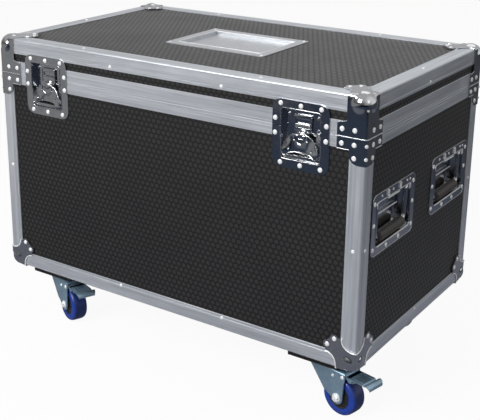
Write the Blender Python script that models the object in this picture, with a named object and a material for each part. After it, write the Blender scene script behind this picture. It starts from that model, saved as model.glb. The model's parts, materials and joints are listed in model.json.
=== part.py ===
# Four-way lighting flight case.
# A plywood trunk in aluminium edge extrusions, with a hinged lid, two recessed butterfly latches, four
# recessed sprung handles, chrome ball corners and four swivel castors, of which the front two have brakes.
# Metres. +Z is up, +X runs along the front, the front faces -Y and the floor is Z = 0.

import bpy
import bmesh
from math import atan2, cos, pi, radians, sin, sqrt, tan
from mathutils import Matrix, Vector

# Case box
case_length = 0.820
case_depth = 0.486
base_height = 0.418          # from the case's bottom to the line where the lid meets it
lid_height = 0.072
case_shift = 0.010           # the right front brake pedal reaches past the case, which stands left of the middle

# Clearances
seat_gap = 0.0003            # between pieces that seat on each other
join_gap = 0.0003            # between lid and base
slide_gap = 0.0005           # round what turns or slides

# Edge extrusions and panels
angle_leg = 0.030
angle_sheet = 0.002
edge_radius = 0.0035
panel_thickness = 0.009
base_rim_leg = 0.020
lid_rim_leg = 0.0265
lip_thickness = 0.0015
lip_depth = 0.012
groove_width = 0.005
groove_depth = 0.0036
groove_wall = 0.0012
tongue_width = 0.0024
tongue_height = 0.003
corner_clip = 0.027          # extrusions and panels end where their three insets add up to this

# Corner fittings
ball_radius = 0.025
ball_inset = 0.019
fitting_sheet = 0.0016
lobe_size = 0.062
brace_reach = 0.053
brace_height = 0.0205
brace_tab_reach = 0.036
brace_tab_height = 0.044
lid_leg_reach = 0.031
lid_brace_height = 0.0247

# Latches
latch_inset = 0.1215         # from the case's end to each latch's middle
latch_flange_width = 0.109
latch_flange_low = 0.074     # below the join
latch_flange_high = 0.0465   # above the join
latch_flange_sheet = 0.0015
latch_flange_corner = 0.016
latch_pan_width = 0.076
latch_pan_low = 0.058
latch_pan_high = 0.032
latch_pan_wall = 0.0012
latch_joggle = 0.0015
pivot_drop = 0.013           # from the join down to the latch's pivot
washer_radius = 0.009
washer_thickness = 0.0012
shaft_radius = 0.006
boss_radius = 0.010
boss_thickness = 0.0015
ear_block_width = 0.009
ear_block_height = 0.008
wing_pin_radius = 0.0015
wing_pin_length = 0.0172
wing_pin_rise = 0.0036       # from the boss to the wing's axis
wing_thickness = 0.0016
wing_ear_radius = 0.0032
wing_ear_width = 0.003
wing_tip_rise = 0.0069       # from the wing's axis to the curled tips' face
wing_outline = [             # right half, from the pivot, below the ears
    (0.0097, -0.003), (0.012, -0.009), (0.016, -0.015), (0.021, -0.0195), (0.0285, -0.023),
    (0.024, -0.0275), (0.016, -0.0325), (0.008, -0.034),
]
wing_tip_outline = [(0.022, -0.020), (0.036, -0.031), (0.035, -0.038), (0.028, -0.0385), (0.018, -0.025)]
wing_rib_outline = [(0.022, -0.020), (0.028, -0.023), (0.024, -0.0272), (0.018, -0.025)]
hook_thickness = 0.0015
hook_corner = 0.003
hook_width = 0.034
hook_foot_width = 0.025
hook_top = 0.035
hook_foot = 0.017
hook_slot_width = 0.027
hook_slot_height = 0.008
hook_slot_rise = 0.019
hook_travel = 0.005
strike_width = 0.034
strike_height = 0.005
strike_rise = 0.010          # above the join
strike_clearance = 0.0005

# Handles
handle_inset = 0.1215        # from the front or the back to each handle's middle
handle_height = 0.255        # above the case's bottom
handle_flange_width = 0.170
handle_flange_height = 0.113
handle_flange_corner = 0.014
handle_sheet = 0.0015
handle_opening_width = 0.138
handle_opening_height = 0.080
handle_opening_corner = 0.006
handle_depth = 0.0205        # from the case's face to the dish's floor
bail_axis_rise = 0.033
bail_axis_depth = 0.007
bail_drop = 0.061
bail_half_width = 0.058
bail_rod_radius = 0.004
bail_bend = 0.010
bail_pin_radius = 0.003
bail_pin_end = 0.0685
bail_boss_radius = 0.005
bail_ear_width = 0.0035
bail_ear_drop = 0.006
grip_radius = 0.0095
grip_length = 0.094

# Label dish in the lid's top
label_flange_length = 0.228
label_flange_width = 0.173
label_opening_length = 0.192
label_opening_width = 0.132
label_corner = 0.004
label_sheet = 0.0015
label_wall = 0.0012
label_depth = 0.0083

# Hinges on the back
hinge_inset = 0.180          # from the case's end to each hinge's middle
hinge_leaf_width = 0.070
hinge_leaf_height = 0.018
hinge_leaf_sheet = 0.002
hinge_axis_out = 0.0063
knuckle_radius = 0.0036
knuckle_length = 0.0234
hinge_pin_radius = 0.00175
hinge_bore_gap = 0.0004

# Castors
castor_height = 0.108
castor_inset_end = 0.0835
castor_inset_side = 0.072
block_drop = 0.018
block_outer = 0.020
block_inner_end = 0.145
block_inner_side = 0.130
block_chamfer = 0.022
plate_length = 0.095
plate_width = 0.080
plate_sheet = 0.0025
plate_corner = 0.006
cup_radius = 0.030
cup_mouth_radius = 0.024
cup_depth = 0.0067
king_pin_radius = 0.0058
king_nut_radius = 0.009
king_nut_height = 0.0032
race_radius = 0.027
race_wall = 0.005
race_height = 0.0052
crown_thickness = 0.003
crown_front = 0.030
crown_back = 0.040
fork_sheet = 0.003
fork_gap = 0.0380            # between the legs
fork_boss_radius = 0.013
castor_trail = 0.034
wheel_radius = 0.038
wheel_width = 0.032
tyre_shoulder = 0.006
hub_radius = 0.022
hub_face_inset = 0.002
axle_boss_radius = 0.011
axle_radius = 0.004
axle_head_radius = 0.0065
axle_head_height = 0.005
bore_gap = 0.0003
swivel_turns = {"front_right": -12.5, "front_left": -23.0, "back_right": 160.0, "back_left": 152.0}

# Brake pedals
pedal_pivot_trail = 0.046
pedal_pivot_height = 0.084
pedal_pin_radius = 0.0025
pedal_barrel_radius = 0.005
pedal_start = 0.056
pedal_end = 0.097
pedal_lip_end = 0.108
pedal_width = 0.042
pedal_sheet = 0.002
pedal_rise = 0.002
shoe_length = 0.008
shoe_width = 0.024
pedal_stroke = 12.0          # degrees down to where the shoe meets the tyre
shoe_clearance = 0.0004

# Facets
wheel_sides = 24
round_sides = 16
small_sides = 8
ball_sides = 16
corner_steps = 3

# Derived places
case_height = base_height + lid_height
case_bottom = castor_height + block_drop
case_top = case_bottom + case_height
panel_out = angle_sheet + seat_gap
panel_in = panel_out + panel_thickness
lip_in = panel_in + seat_gap
lip_out = lip_in + lip_thickness
half_join = join_gap / 2
half_length = case_length / 2
half_depth = case_depth / 2
latch_place = half_length - latch_inset
handle_place = half_depth - handle_inset
hinge_place = half_length - hinge_inset
groove_middle = panel_out + panel_thickness / 2
panel_top = base_height - half_join - groove_depth - groove_wall - seat_gap
fitting_low = seat_gap
fitting_high = seat_gap + fitting_sheet

for thing in list(bpy.data.objects):
    bpy.data.objects.remove(thing)


# Frames: u runs along a face, v up it and w out of it

def face_frame(origin, along, up):
    along, up = Vector(along), Vector(up)
    return Matrix.Translation(origin) @ Matrix((along, up, along.cross(up))).transposed().to_4x4()


front_face = face_frame((-case_shift, -half_depth, case_bottom), (1, 0, 0), (0, 0, 1))
back_face = face_frame((-case_shift, half_depth, case_bottom), (-1, 0, 0), (0, 0, 1))
right_face = face_frame((half_length - case_shift, 0, case_bottom), (0, 1, 0), (0, 0, 1))
left_face = face_frame((-half_length - case_shift, 0, case_bottom), (0, -1, 0), (0, 0, 1))
top_face = face_frame((-case_shift, 0, case_top), (1, 0, 0), (0, 1, 0))
level = Matrix.Translation((-case_shift, 0, case_bottom))


def aimed(frame, place, direction):
    turn = Vector(direction).to_track_quat("Z", "Y").to_matrix().to_4x4()
    return frame @ Matrix.Translation(place) @ turn


def sideways(frame):
    # A cross-section frame: x runs out of the face, y up it and z along it
    return frame @ Matrix(((0, 0, 1, 0), (0, 1, 0, 0), (1, 0, 0, 0), (0, 0, 0, 1)))


# Making solids

def mesh_object(bm, frame=Matrix()):
    bm.transform(frame)
    bmesh.ops.recalc_face_normals(bm, faces=bm.faces)
    mesh = bpy.data.meshes.new("solid")
    bm.to_mesh(mesh)
    bm.free()
    made = bpy.data.objects.new("solid", mesh)
    bpy.context.scene.collection.objects.link(made)
    return made


def rounded(corners, steps=corner_steps):
    points = []
    for i, corner in enumerate(corners):
        here = Vector(corner[:2])
        if len(corner) < 3:
            points.append(tuple(here))
            continue
        before = (Vector(corners[i - 1][:2]) - here).normalized()
        after = (Vector(corners[(i + 1) % len(corners)][:2]) - here).normalized()
        half = before.angle(after) / 2
        centre = here + (before + after).normalized() * corner[2] / sin(half)
        first = here + before * corner[2] / tan(half) - centre
        last = here + after * corner[2] / tan(half) - centre
        turn = atan2(first.x * last.y - first.y * last.x, first.dot(last))
        for k in range(steps + 1):
            swung = Matrix.Rotation(turn * k / steps, 2) @ first
            points.append(tuple(centre + swung))
    return points


def rectangle(low_u, high_u, low_v, high_v, radius=None):
    corners = [(low_u, low_v), (high_u, low_v), (high_u, high_v), (low_u, high_v)]
    return rounded([(*corner, radius) for corner in corners]) if radius else corners


def slab(outer, low, high, frame=Matrix(), holes=()):
    bm = bmesh.new()
    caps = []
    for w in (low, high):
        loops = [[bm.verts.new((u, v, w)) for u, v in loop] for loop in (outer, *holes)]
        edges = [bm.edges.new(pair) for loop in loops for pair in zip(loop, loop[1:] + loop[:1])]
        bmesh.ops.triangle_fill(bm, use_beauty=True, edges=edges)
        caps.append(loops)
    for lower, upper in zip(*caps):
        for i in range(len(lower)):
            bm.faces.new((lower[i - 1], lower[i], upper[i], upper[i - 1]))
    return mesh_object(bm, frame)


def box(low_u, high_u, low_v, high_v, low, high, frame=Matrix()):
    return slab(rectangle(low_u, high_u, low_v, high_v), low, high, frame)


def turned(profile, frame=Matrix(), sides=round_sides, start=0.0):
    bm = bmesh.new()
    rings = []
    for radius, w in profile:
        if radius:
            angles = [start + 2 * pi * i / sides for i in range(sides)]
            rings.append([bm.verts.new((radius * cos(a), radius * sin(a), w)) for a in angles])
        else:
            rings.append([bm.verts.new((0, 0, w))] * sides)
    for here, there in zip(rings, rings[1:] + rings[:1]):
        for i in range(sides):
            corners = list(dict.fromkeys((here[i - 1], here[i], there[i], there[i - 1])))
            if len(corners) > 2:
                bm.faces.new(corners)
    return mesh_object(bm, frame)


def pin(radius, low, high, frame=Matrix(), sides=round_sides):
    return turned([(0, low), (radius, low), (radius, high), (0, high)], frame, sides)


def bore(radius, low, high, frame=Matrix(), sides=round_sides):
    # A hole's cutter, with its facets outside the true radius
    return pin(radius / cos(pi / sides), low, high, frame, sides)


def rod(path, radius, frame=Matrix(), sides=small_sides):
    # A round bar along a path that lies in the frame's u-v plane
    bm = bmesh.new()
    rings = []
    for i, place in enumerate(path):
        before = (Vector(path[max(i - 1, 0)]) - Vector(path[max(i - 1, 0) + 1])).normalized()
        after = (Vector(path[min(i, len(path) - 2)]) - Vector(path[min(i, len(path) - 2) + 1])).normalized()
        along = (before + after).normalized()
        across = Vector((-along.y, along.x)) / max(along.dot(after), 0.5)
        ring = []
        for k in range(sides):
            angle = 2 * pi * (k + 0.5) / sides
            side = Vector(place) + across * radius * cos(angle)
            ring.append(bm.verts.new((side.x, side.y, radius * sin(angle))))
        rings.append(ring)
    for here, there in zip(rings, rings[1:]):
        for i in range(sides):
            bm.faces.new((here[i - 1], here[i], there[i], there[i - 1]))
    bm.faces.new(rings[0])
    bm.faces.new(rings[-1])
    return mesh_object(bm, frame)


def mitred_ring(profile):
    # A closed section of (inset, height above the case's bottom) run round the four sides
    bm = bmesh.new()
    turns = ((-1, -1), (1, -1), (1, 1), (-1, 1))
    rings = []
    for inset, height in profile:
        x, y = half_length - inset, half_depth - inset
        rings.append([bm.verts.new((x * side_x, y * side_y, height)) for side_x, side_y in turns])
    for here, there in zip(rings, rings[1:] + rings[:1]):
        for i in range(4):
            bm.faces.new((here[i - 1], here[i], there[i], there[i - 1]))
    return mesh_object(bm, level)


def combined(first, operation, others):
    for other in others:
        modifier = first.modifiers.new("combine", "BOOLEAN")
        modifier.operation = operation
        modifier.solver = "EXACT"
        modifier.object = other
        graph = bpy.context.evaluated_depsgraph_get()
        whole = bpy.data.meshes.new_from_object(first.evaluated_get(graph))
        first.modifiers.clear()
        first.data = whole
        bpy.data.objects.remove(other)
    return first


def united(first, *others):
    return combined(first, "UNION", others)


def cut(first, *others):
    return combined(first, "DIFFERENCE", others)


def shared(first, *others):
    return combined(first, "INTERSECT", others)


def bisected(solid, place, outward):
    # Takes off what lies beyond a plane and closes the cut
    bm = bmesh.new()
    bm.from_mesh(solid.data)
    geometry = bm.verts[:] + bm.edges[:] + bm.faces[:]
    found = bmesh.ops.bisect_plane(bm, geom=geometry, plane_co=place, plane_no=outward, clear_outer=True)
    edges = [item for item in found["geom_cut"] if isinstance(item, bmesh.types.BMEdge)]
    if edges:
        bmesh.ops.holes_fill(bm, edges=edges, sides=0)
    bmesh.ops.recalc_face_normals(bm, faces=bm.faces)
    bm.to_mesh(solid.data)
    bm.free()
    return solid


def corner_signs(upper):
    return [(x, y, 1 if upper else -1) for x in (-1, 1) for y in (-1, 1)]


def clipped(solid, upper):
    # Ends the solid short of the four lower or upper ball corners
    for signs in corner_signs(upper):
        corner = Vector((half_length * signs[0], half_depth * signs[1], case_height if upper else 0))
        place = level @ (corner - Vector(signs) * corner_clip / 3)
        bisected(solid, place, Vector(signs).normalized())
    return solid


# Finishes

def finish(name, colour, roughness, metallic=0.0):
    made = bpy.data.materials.new(name)
    made.use_nodes = True
    shader = made.node_tree.nodes["Principled BSDF"]
    shader.inputs["Base Color"].default_value = (*colour, 1)
    shader.inputs["Roughness"].default_value = roughness
    shader.inputs["Metallic"].default_value = metallic
    made.diffuse_color = (*colour, 1)
    return made


laminate = finish("black_hexagon_laminate", (0.018, 0.018, 0.019), 0.42)
aluminium = finish("brushed_aluminium", (0.72, 0.73, 0.75), 0.34, 1.0)
chrome = finish("chromed_steel", (0.70, 0.71, 0.74), 0.12, 1.0)
zinc = finish("zinc_plated_steel", (0.55, 0.58, 0.62), 0.30, 1.0)
tyre_blue = finish("blue_tyre_on_black_hub", (0.010, 0.060, 0.330), 0.45)
grip_dark = finish("dark_grip_on_plated_bail", (0.030, 0.028, 0.027), 0.55)


def empty_at(name, place):
    made = bpy.data.objects.new(name, None)
    made.location = place
    bpy.context.scene.collection.objects.link(made)
    return made


def merge_flat_faces(mesh):
    bm = bmesh.new()
    bm.from_mesh(mesh)
    bmesh.ops.dissolve_limit(bm, angle_limit=radians(0.2), verts=bm.verts, edges=bm.edges)
    bm.to_mesh(mesh)
    bm.free()


def settled(solid, name, material, parent, place=None, turn=0.0):
    # Names the piece, puts its origin at a place in the world and parents it
    here = Matrix.Translation(place) @ Matrix.Rotation(turn, 4, "Z") if place is not None else Matrix()
    solid.name = name
    solid.data.name = name
    solid.data.transform(here.inverted())
    merge_flat_faces(solid.data)
    solid.data.materials.clear()
    solid.data.materials.append(material)
    solid.data.shade_smooth()
    solid.data.set_sharp_from_angle(angle=radians(32))
    hang(solid, here, parent)
    return solid


def hang(solid, here, parent):
    solid.parent = parent
    bpy.context.view_layer.update()
    solid.matrix_world = here
    bpy.context.view_layer.update()


def copied(solid, name, parent, here):
    made = bpy.data.objects.new(name, solid.data)
    bpy.context.scene.collection.objects.link(made)
    hang(made, here, parent)
    return made


base = empty_at("base", (-case_shift, 0, case_bottom))
hinge_axis = back_face @ Vector((0, base_height, hinge_axis_out))
lid = empty_at("lid", hinge_axis)


# Base shell

def latch_notch(frame, low, high, deepest):
    # What a panel or an extrusion loses where the latches' pans go in
    half = latch_pan_width / 2 + latch_pan_wall + seat_gap
    spans = [(side * latch_place - half, side * latch_place + half) for side in (-1, 1)]
    return [box(start, end, low, high, -deepest, panel_out, frame) for start, end in spans]


def make_floor_panel():
    half_x = half_length - panel_in - seat_gap
    half_y = half_depth - panel_in - seat_gap
    floor = box(-half_x, half_x, -half_y, half_y, panel_out, panel_in, level)
    upper_start = angle_leg + seat_gap
    for side_x in (-1, 1):
        for side_y in (-1, 1):
            frame = level @ Matrix.Translation((side_x * half_length, side_y * half_depth, 0))
            frame = frame @ Matrix.Diagonal((-side_x, -side_y, 1, 1))
            pad = [
                (block_outer + block_chamfer, block_outer), (block_inner_end, block_outer),
                (block_inner_end, block_inner_side), (block_outer, block_inner_side),
                (block_outer, block_outer + block_chamfer),
            ]
            pad_top = -seat_gap
            pad = slab(pad, -block_drop, pad_top, frame)
            step = block_chamfer - 2 * (upper_start - block_outer) + angle_sheet
            neck = rectangle(upper_start, block_inner_end, upper_start, block_inner_side)
            if step > 0:
                neck = [(upper_start + step, upper_start), *neck[1:], (upper_start, upper_start + step)]
            neck = slab(neck, -block_drop / 2, panel_out + panel_thickness / 2, frame)
            united(floor, united(pad, neck))
    settled(clipped(floor, False), "floor_panel", laminate, base)


def make_long_panel(frame, name, notched):
    half = half_length - panel_out
    panel = box(-half, half, panel_out, panel_top, -panel_in, -panel_out, frame)
    if notched:
        low = base_height - latch_pan_low - latch_pan_wall - seat_gap
        cut(panel, *latch_notch(frame, low, case_height, case_depth / 4))
    settled(clipped(panel, False), name, laminate, base)


def make_end_panel(frame, name):
    half = half_depth - panel_in - seat_gap
    half_u = handle_opening_width / 2 + handle_sheet + seat_gap
    half_v = handle_opening_height / 2 + handle_sheet + seat_gap
    windows = []
    for side in (-1, 1):
        middle = side * handle_place
        windows.append(rectangle(middle - half_u, middle + half_u, handle_height - half_v, handle_height + half_v))
    outer = rectangle(-half, half, panel_out, panel_top)
    panel = slab(outer, -panel_in, -panel_out, frame, windows)
    settled(clipped(panel, False), name, laminate, base)


def make_base_edge_frame():
    top = base_height - base_rim_leg - seat_gap
    shell = box(-half_length, half_length, -half_depth, half_depth, 0, top, level)
    bm = bmesh.new()
    bm.from_mesh(shell.data)
    highest = case_bottom + top
    picked = [edge for edge in bm.edges if min(vert.co.z for vert in edge.verts) < highest - seat_gap]
    sharp = [edge for edge in picked if edge.calc_face_angle(0) > 1]
    bmesh.ops.bevel(bm, geom=sharp, offset=edge_radius, segments=corner_steps, profile=0.5, affect="EDGES")
    bm.to_mesh(shell.data)
    bm.free()
    inner_x, inner_y = half_length - angle_sheet, half_depth - angle_sheet
    open_x, open_y = half_length - angle_leg, half_depth - angle_leg
    cut(shell, box(-inner_x, inner_x, -inner_y, inner_y, angle_sheet, case_height, level))
    cut(shell, box(-case_length, case_length, -open_y, open_y, angle_leg, case_height, level))
    cut(shell, box(-open_x, open_x, -case_depth, case_depth, angle_leg, case_height, level))
    cut(shell, box(-open_x, open_x, -open_y, open_y, -angle_leg, angle_leg, level))
    settled(clipped(shell, False), "base_edge_frame", aluminium, base)


def make_base_rim():
    top = base_height - half_join
    groove_start = groove_middle - groove_width / 2
    groove_end = groove_middle + groove_width / 2
    section = [
        (0, top), (groove_start, top), (groove_start, top - groove_depth),
        (groove_end, top - groove_depth), (groove_end, top), (lip_out, top),
        (lip_out, base_height - lip_depth), (lip_in, base_height - lip_depth), (lip_in, top - angle_sheet),
        (groove_end + groove_wall, top - angle_sheet),
        (groove_end + groove_wall, top - groove_depth - groove_wall),
        (groove_start - groove_wall, top - groove_depth - groove_wall),
        (groove_start - groove_wall, top - angle_sheet), (angle_sheet, top - angle_sheet),
        (angle_sheet, base_height - base_rim_leg), (0, base_height - base_rim_leg),
    ]
    rim = mitred_ring(section)
    reach = lip_in - seat_gap / 2
    cut(rim, *latch_notch(front_face, base_height - 2 * base_rim_leg, case_height, reach))
    settled(rim, "base_rim", aluminium, base)


# Lid shell

def make_lid_rim():
    low = base_height + half_join
    tongue_start = groove_middle - tongue_width / 2
    tongue_end = groove_middle + tongue_width / 2
    section = [
        (0, low), (tongue_start, low), (tongue_start, low - tongue_height), (tongue_end, low - tongue_height),
        (tongue_end, low), (lip_out, low), (lip_out, base_height + lip_depth), (lip_in, base_height + lip_depth),
        (lip_in, low + angle_sheet), (angle_sheet, low + angle_sheet),
        (angle_sheet, base_height + lid_rim_leg), (0, base_height + lid_rim_leg),
    ]
    rim = mitred_ring(section)
    reach = lip_in - seat_gap / 2
    cut(rim, *latch_notch(front_face, base_height - angle_leg, base_height + 2 * lid_rim_leg, reach))
    settled(rim, "lid_rim", aluminium, lid)


def make_lid_wall_band():
    low = base_height + half_join + angle_sheet + seat_gap
    high = case_height - panel_in - seat_gap
    band = mitred_ring([(panel_out, low), (panel_in, low), (panel_in, high), (panel_out, high)])
    notch_top = base_height + latch_pan_high + latch_pan_wall + seat_gap
    cut(band, *latch_notch(front_face, base_height - angle_leg, notch_top, 2 * panel_in))
    settled(clipped(band, True), "lid_wall_band", laminate, lid)


def make_lid_edge_frame():
    bend = []
    for k in range(corner_steps + 1):
        angle = pi / 2 * k / corner_steps
        inset = edge_radius * (1 - cos(angle))
        bend.append((inset, case_height - edge_radius * (1 - sin(angle))))
    section = [
        (0, case_height - angle_leg), *bend, (angle_leg, case_height), (angle_leg, case_height - angle_sheet),
        (angle_sheet, case_height - angle_sheet), (angle_sheet, case_height - angle_leg),
    ]
    settled(clipped(mitred_ring(section), True), "lid_edge_frame", aluminium, lid)


def make_lid_top_panel():
    half_u, half_v = half_length - panel_out, half_depth - panel_out
    hole_u = label_opening_length / 2 + label_wall + seat_gap
    hole_v = label_opening_width / 2 + label_wall + seat_gap
    window = rectangle(-hole_u, hole_u, -hole_v, hole_v)
    panel = slab(rectangle(-half_u, half_u, -half_v, half_v), -panel_in, -panel_out, top_face, [window])
    settled(clipped(panel, True), "lid_top_panel", laminate, lid)


def make_label_dish():
    top = -panel_out + seat_gap + label_sheet
    flange = rectangle(
        -label_flange_length / 2, label_flange_length / 2, -label_flange_width / 2, label_flange_width / 2,
        label_corner)
    dish = slab(flange, top - label_sheet, top, top_face)
    half_u, half_v = label_opening_length / 2, label_opening_width / 2
    floor = -label_depth
    tub = box(-half_u - label_wall, half_u + label_wall, -half_v - label_wall, half_v + label_wall,
              floor - label_wall, top - label_sheet / 2, top_face)
    hollow = box(-half_u, half_u, -half_v, half_v, floor, angle_leg, top_face)
    settled(cut(united(dish, tub), hollow), "label_dish", chrome, lid)


# Corner fittings, modelled at the corner of a box whose faces are x = 0, y = 0 and z = 0

def lobe_outline(limit=None):
    # Half of the plate's outline, which is mirrored about its diagonal
    neck = lobe_size * 0.5
    reach = neck * 0.94
    half = [
        (reach, -fitting_high), (reach, 0), (neck, lobe_size * 0.23), (lobe_size * 0.61, lobe_size * 0.355),
        (lobe_size * 0.76, lobe_size * 0.42), (lobe_size * 0.89, lobe_size * 0.47),
        (lobe_size * 0.985, lobe_size * 0.565), (lobe_size, lobe_size * 0.71), (lobe_size * 0.935, lobe_size * 0.84),
    ]
    points = half + [(v, u) for u, v in reversed(half)] + [(-fitting_high, -fitting_high)]
    return points


def corner_planes(sign):
    # Frames of the two upright faces and of the lying face; sign is 1 where z rises into the case
    side_x = Matrix(((0, 0, -1, 0), (1, 0, 0, 0), (0, sign, 0, 0), (0, 0, 0, 1)))
    side_y = Matrix(((1, 0, 0, 0), (0, 0, -1, 0), (0, sign, 0, 0), (0, 0, 0, 1)))
    lying = Matrix(((1, 0, 0, 0), (0, 1, 0, 0), (0, 0, -sign, 0), (0, 0, 0, 1)))
    return side_x, side_y, lying


def make_ball(sign):
    profile = []
    steps = ball_sides // 2
    for k in range(steps + 1):
        angle = pi * k / steps
        radius = 0 if k in (0, steps) else ball_radius * sin(angle)
        profile.append((radius, -ball_radius * cos(angle)))
    ball = turned(profile, Matrix.Translation((ball_inset, ball_inset, ball_inset * sign)), ball_sides, pi / 4)
    low = min(-fitting_low * sign, 3 * ball_radius * sign)
    high = max(-fitting_low * sign, 3 * ball_radius * sign)
    body = box(-fitting_low, 3 * ball_radius, -fitting_low, 3 * ball_radius, low, high)
    inside = (corner_clip - 2 * seat_gap) / 3
    bisected(body, (inside, inside, inside * sign), Vector((-1, -1, -sign)).normalized())
    return cut(ball, body)


def make_bottom_corner():
    corner = make_ball(1)
    for frame in corner_planes(1)[:2]:
        united(corner, slab(lobe_outline(), fitting_low, fitting_high, frame))
    foot = slab(lobe_outline(), fitting_low, fitting_high, corner_planes(1)[2])
    half_limit = (block_outer * 2 + block_chamfer - 4 * slide_gap) / 2
    bisected(foot, (half_limit, half_limit, 0), Vector((1, 1, 0)).normalized())
    return united(corner, foot)


def make_lid_corner():
    corner = make_ball(-1)
    low = lid_height - seat_gap
    turn_start = lid_height - lid_brace_height
    leg = [
        (-fitting_high, -fitting_high), (lid_leg_reach, -fitting_high), (lid_leg_reach, turn_start - 2 * fitting_high),
        (brace_reach, turn_start), (brace_reach, low), (-fitting_high, low),
    ]
    side_x, side_y, lying = corner_planes(-1)
    for frame in (side_x, side_y):
        united(corner, slab(leg, fitting_low, fitting_high, frame))
    return united(corner, slab(lobe_outline(), fitting_low, fitting_high, lying))


def make_base_brace():
    # Modelled at the join's height, so it hangs below z = 0
    tab_round = brace_tab_reach / 4
    outline = rounded([
        (-fitting_high, seat_gap), (brace_reach, seat_gap), (brace_reach, brace_height),
        (brace_tab_reach, brace_height), (brace_tab_reach, brace_tab_height, tab_round),
        (-fitting_high, brace_tab_height),
    ])
    side_x, side_y, lying = corner_planes(-1)
    first = slab(outline, fitting_low, fitting_high, side_x)
    return united(first, slab(outline, fitting_low, fitting_high, side_y))


corner_turns = {"front_left": 0, "front_right": 1, "back_right": 2, "back_left": 3}


def place_corner_set(maker, stem, height, material, parent):
    # One mesh, turned a quarter for each corner
    pattern = maker()
    for where, quarters in corner_turns.items():
        x = half_length if "right" in where else -half_length
        y = half_depth if "back" in where else -half_depth
        here = Matrix.Translation((x - case_shift, y, height)) @ Matrix.Rotation(quarters * pi / 2, 4, "Z")
        if quarters == 0:
            first = settled(pattern, stem + where, material, parent)
            hang(first, here, parent)
        else:
            copied(first, stem + where, parent, here)


# Latches

pan_floor = -panel_in + latch_pan_wall
washer_low = pan_floor + seat_gap
hook_low = washer_low + washer_thickness + seat_gap
boss_low = hook_low + hook_thickness + seat_gap
boss_high = boss_low + boss_thickness
wing_axis = boss_high + wing_pin_rise
latch_half_flange = latch_flange_width / 2
latch_half_pan = latch_pan_width / 2
lower_flange = -panel_out + seat_gap
upper_flange = seat_gap


def latch_frame(side):
    return front_face @ Matrix.Translation((side * latch_place, base_height, 0))


def make_latch_dish(frame, name):
    top = -seat_gap * 0.67
    step = -base_rim_leg - seat_gap
    section = [
        (lower_flange, -latch_flange_low), (lower_flange + latch_flange_sheet, -latch_flange_low),
        (lower_flange + latch_flange_sheet, step - latch_joggle),
        (upper_flange + latch_flange_sheet, step - latch_joggle),
        (upper_flange + latch_flange_sheet, top), (upper_flange, top), (upper_flange, step), (lower_flange, step),
    ]
    dish = slab(section, -latch_half_flange, latch_half_flange, sideways(frame))
    rim = rounded([
        (-latch_half_flange, -latch_flange_low, latch_flange_corner),
        (latch_half_flange, -latch_flange_low, latch_flange_corner),
        (latch_half_flange, latch_flange_high), (-latch_half_flange, latch_flange_high)])
    shared(dish, slab(rim, -panel_in, panel_in, frame))
    out = latch_half_pan + latch_pan_wall
    tub = box(-out, out, -latch_pan_low - latch_pan_wall, top, -panel_in, lower_flange + latch_flange_sheet / 2, frame)
    neck = box(-out, out, step - latch_joggle / 2, top, lower_flange, upper_flange + latch_flange_sheet / 2, frame)
    hollow = box(-latch_half_pan, latch_half_pan, -latch_pan_low, latch_pan_low, pan_floor, panel_in, frame)
    settled(cut(united(dish, tub, neck), hollow), name, chrome, base)


def make_latch_strike(frame, name):
    low = seat_gap * 0.67
    rim = rounded([
        (-latch_half_flange, low), (latch_half_flange, low),
        (latch_half_flange, latch_flange_high, latch_flange_corner),
        (-latch_half_flange, latch_flange_high, latch_flange_corner)])
    dish = slab(rim, upper_flange, upper_flange + latch_flange_sheet, frame)
    out = latch_half_pan + latch_pan_wall
    tub = box(-out, out, low, latch_pan_high + latch_pan_wall, -panel_in,
              upper_flange + latch_flange_sheet / 2, frame)
    hollow = box(-latch_half_pan, latch_half_pan, -latch_pan_high, latch_pan_high, pan_floor, panel_in, frame)
    cut(united(dish, tub), hollow)
    bar = box(-strike_width / 2, strike_width / 2, strike_rise, strike_rise + strike_height,
              pan_floor - latch_pan_wall / 2, hook_low - strike_clearance, frame)
    settled(united(dish, bar), name, chrome, lid)


def make_spindle(frame, name):
    pivot = frame @ Matrix.Translation((0, -pivot_drop, 0))
    spindle = turned([
        (0, washer_low), (washer_radius, washer_low), (washer_radius, washer_low + washer_thickness),
        (shaft_radius, washer_low + washer_thickness), (shaft_radius, boss_low), (boss_radius, boss_low),
        (boss_radius, boss_high), (0, boss_high)], pivot)
    half_u, half_v = ear_block_width / 2, ear_block_height / 2
    block = box(-half_u, half_u, -half_v, half_v, boss_low + boss_thickness / 2,
                wing_axis + wing_pin_radius + slide_gap, pivot)
    axle = pin(wing_pin_radius, -wing_pin_length / 2, wing_pin_length / 2,
               aimed(pivot, (0, 0, wing_axis), (1, 0, 0)), small_sides)
    united(spindle, block, axle)
    return settled(spindle, name, chrome, base, pivot @ Vector((0, 0, 0)))


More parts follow.
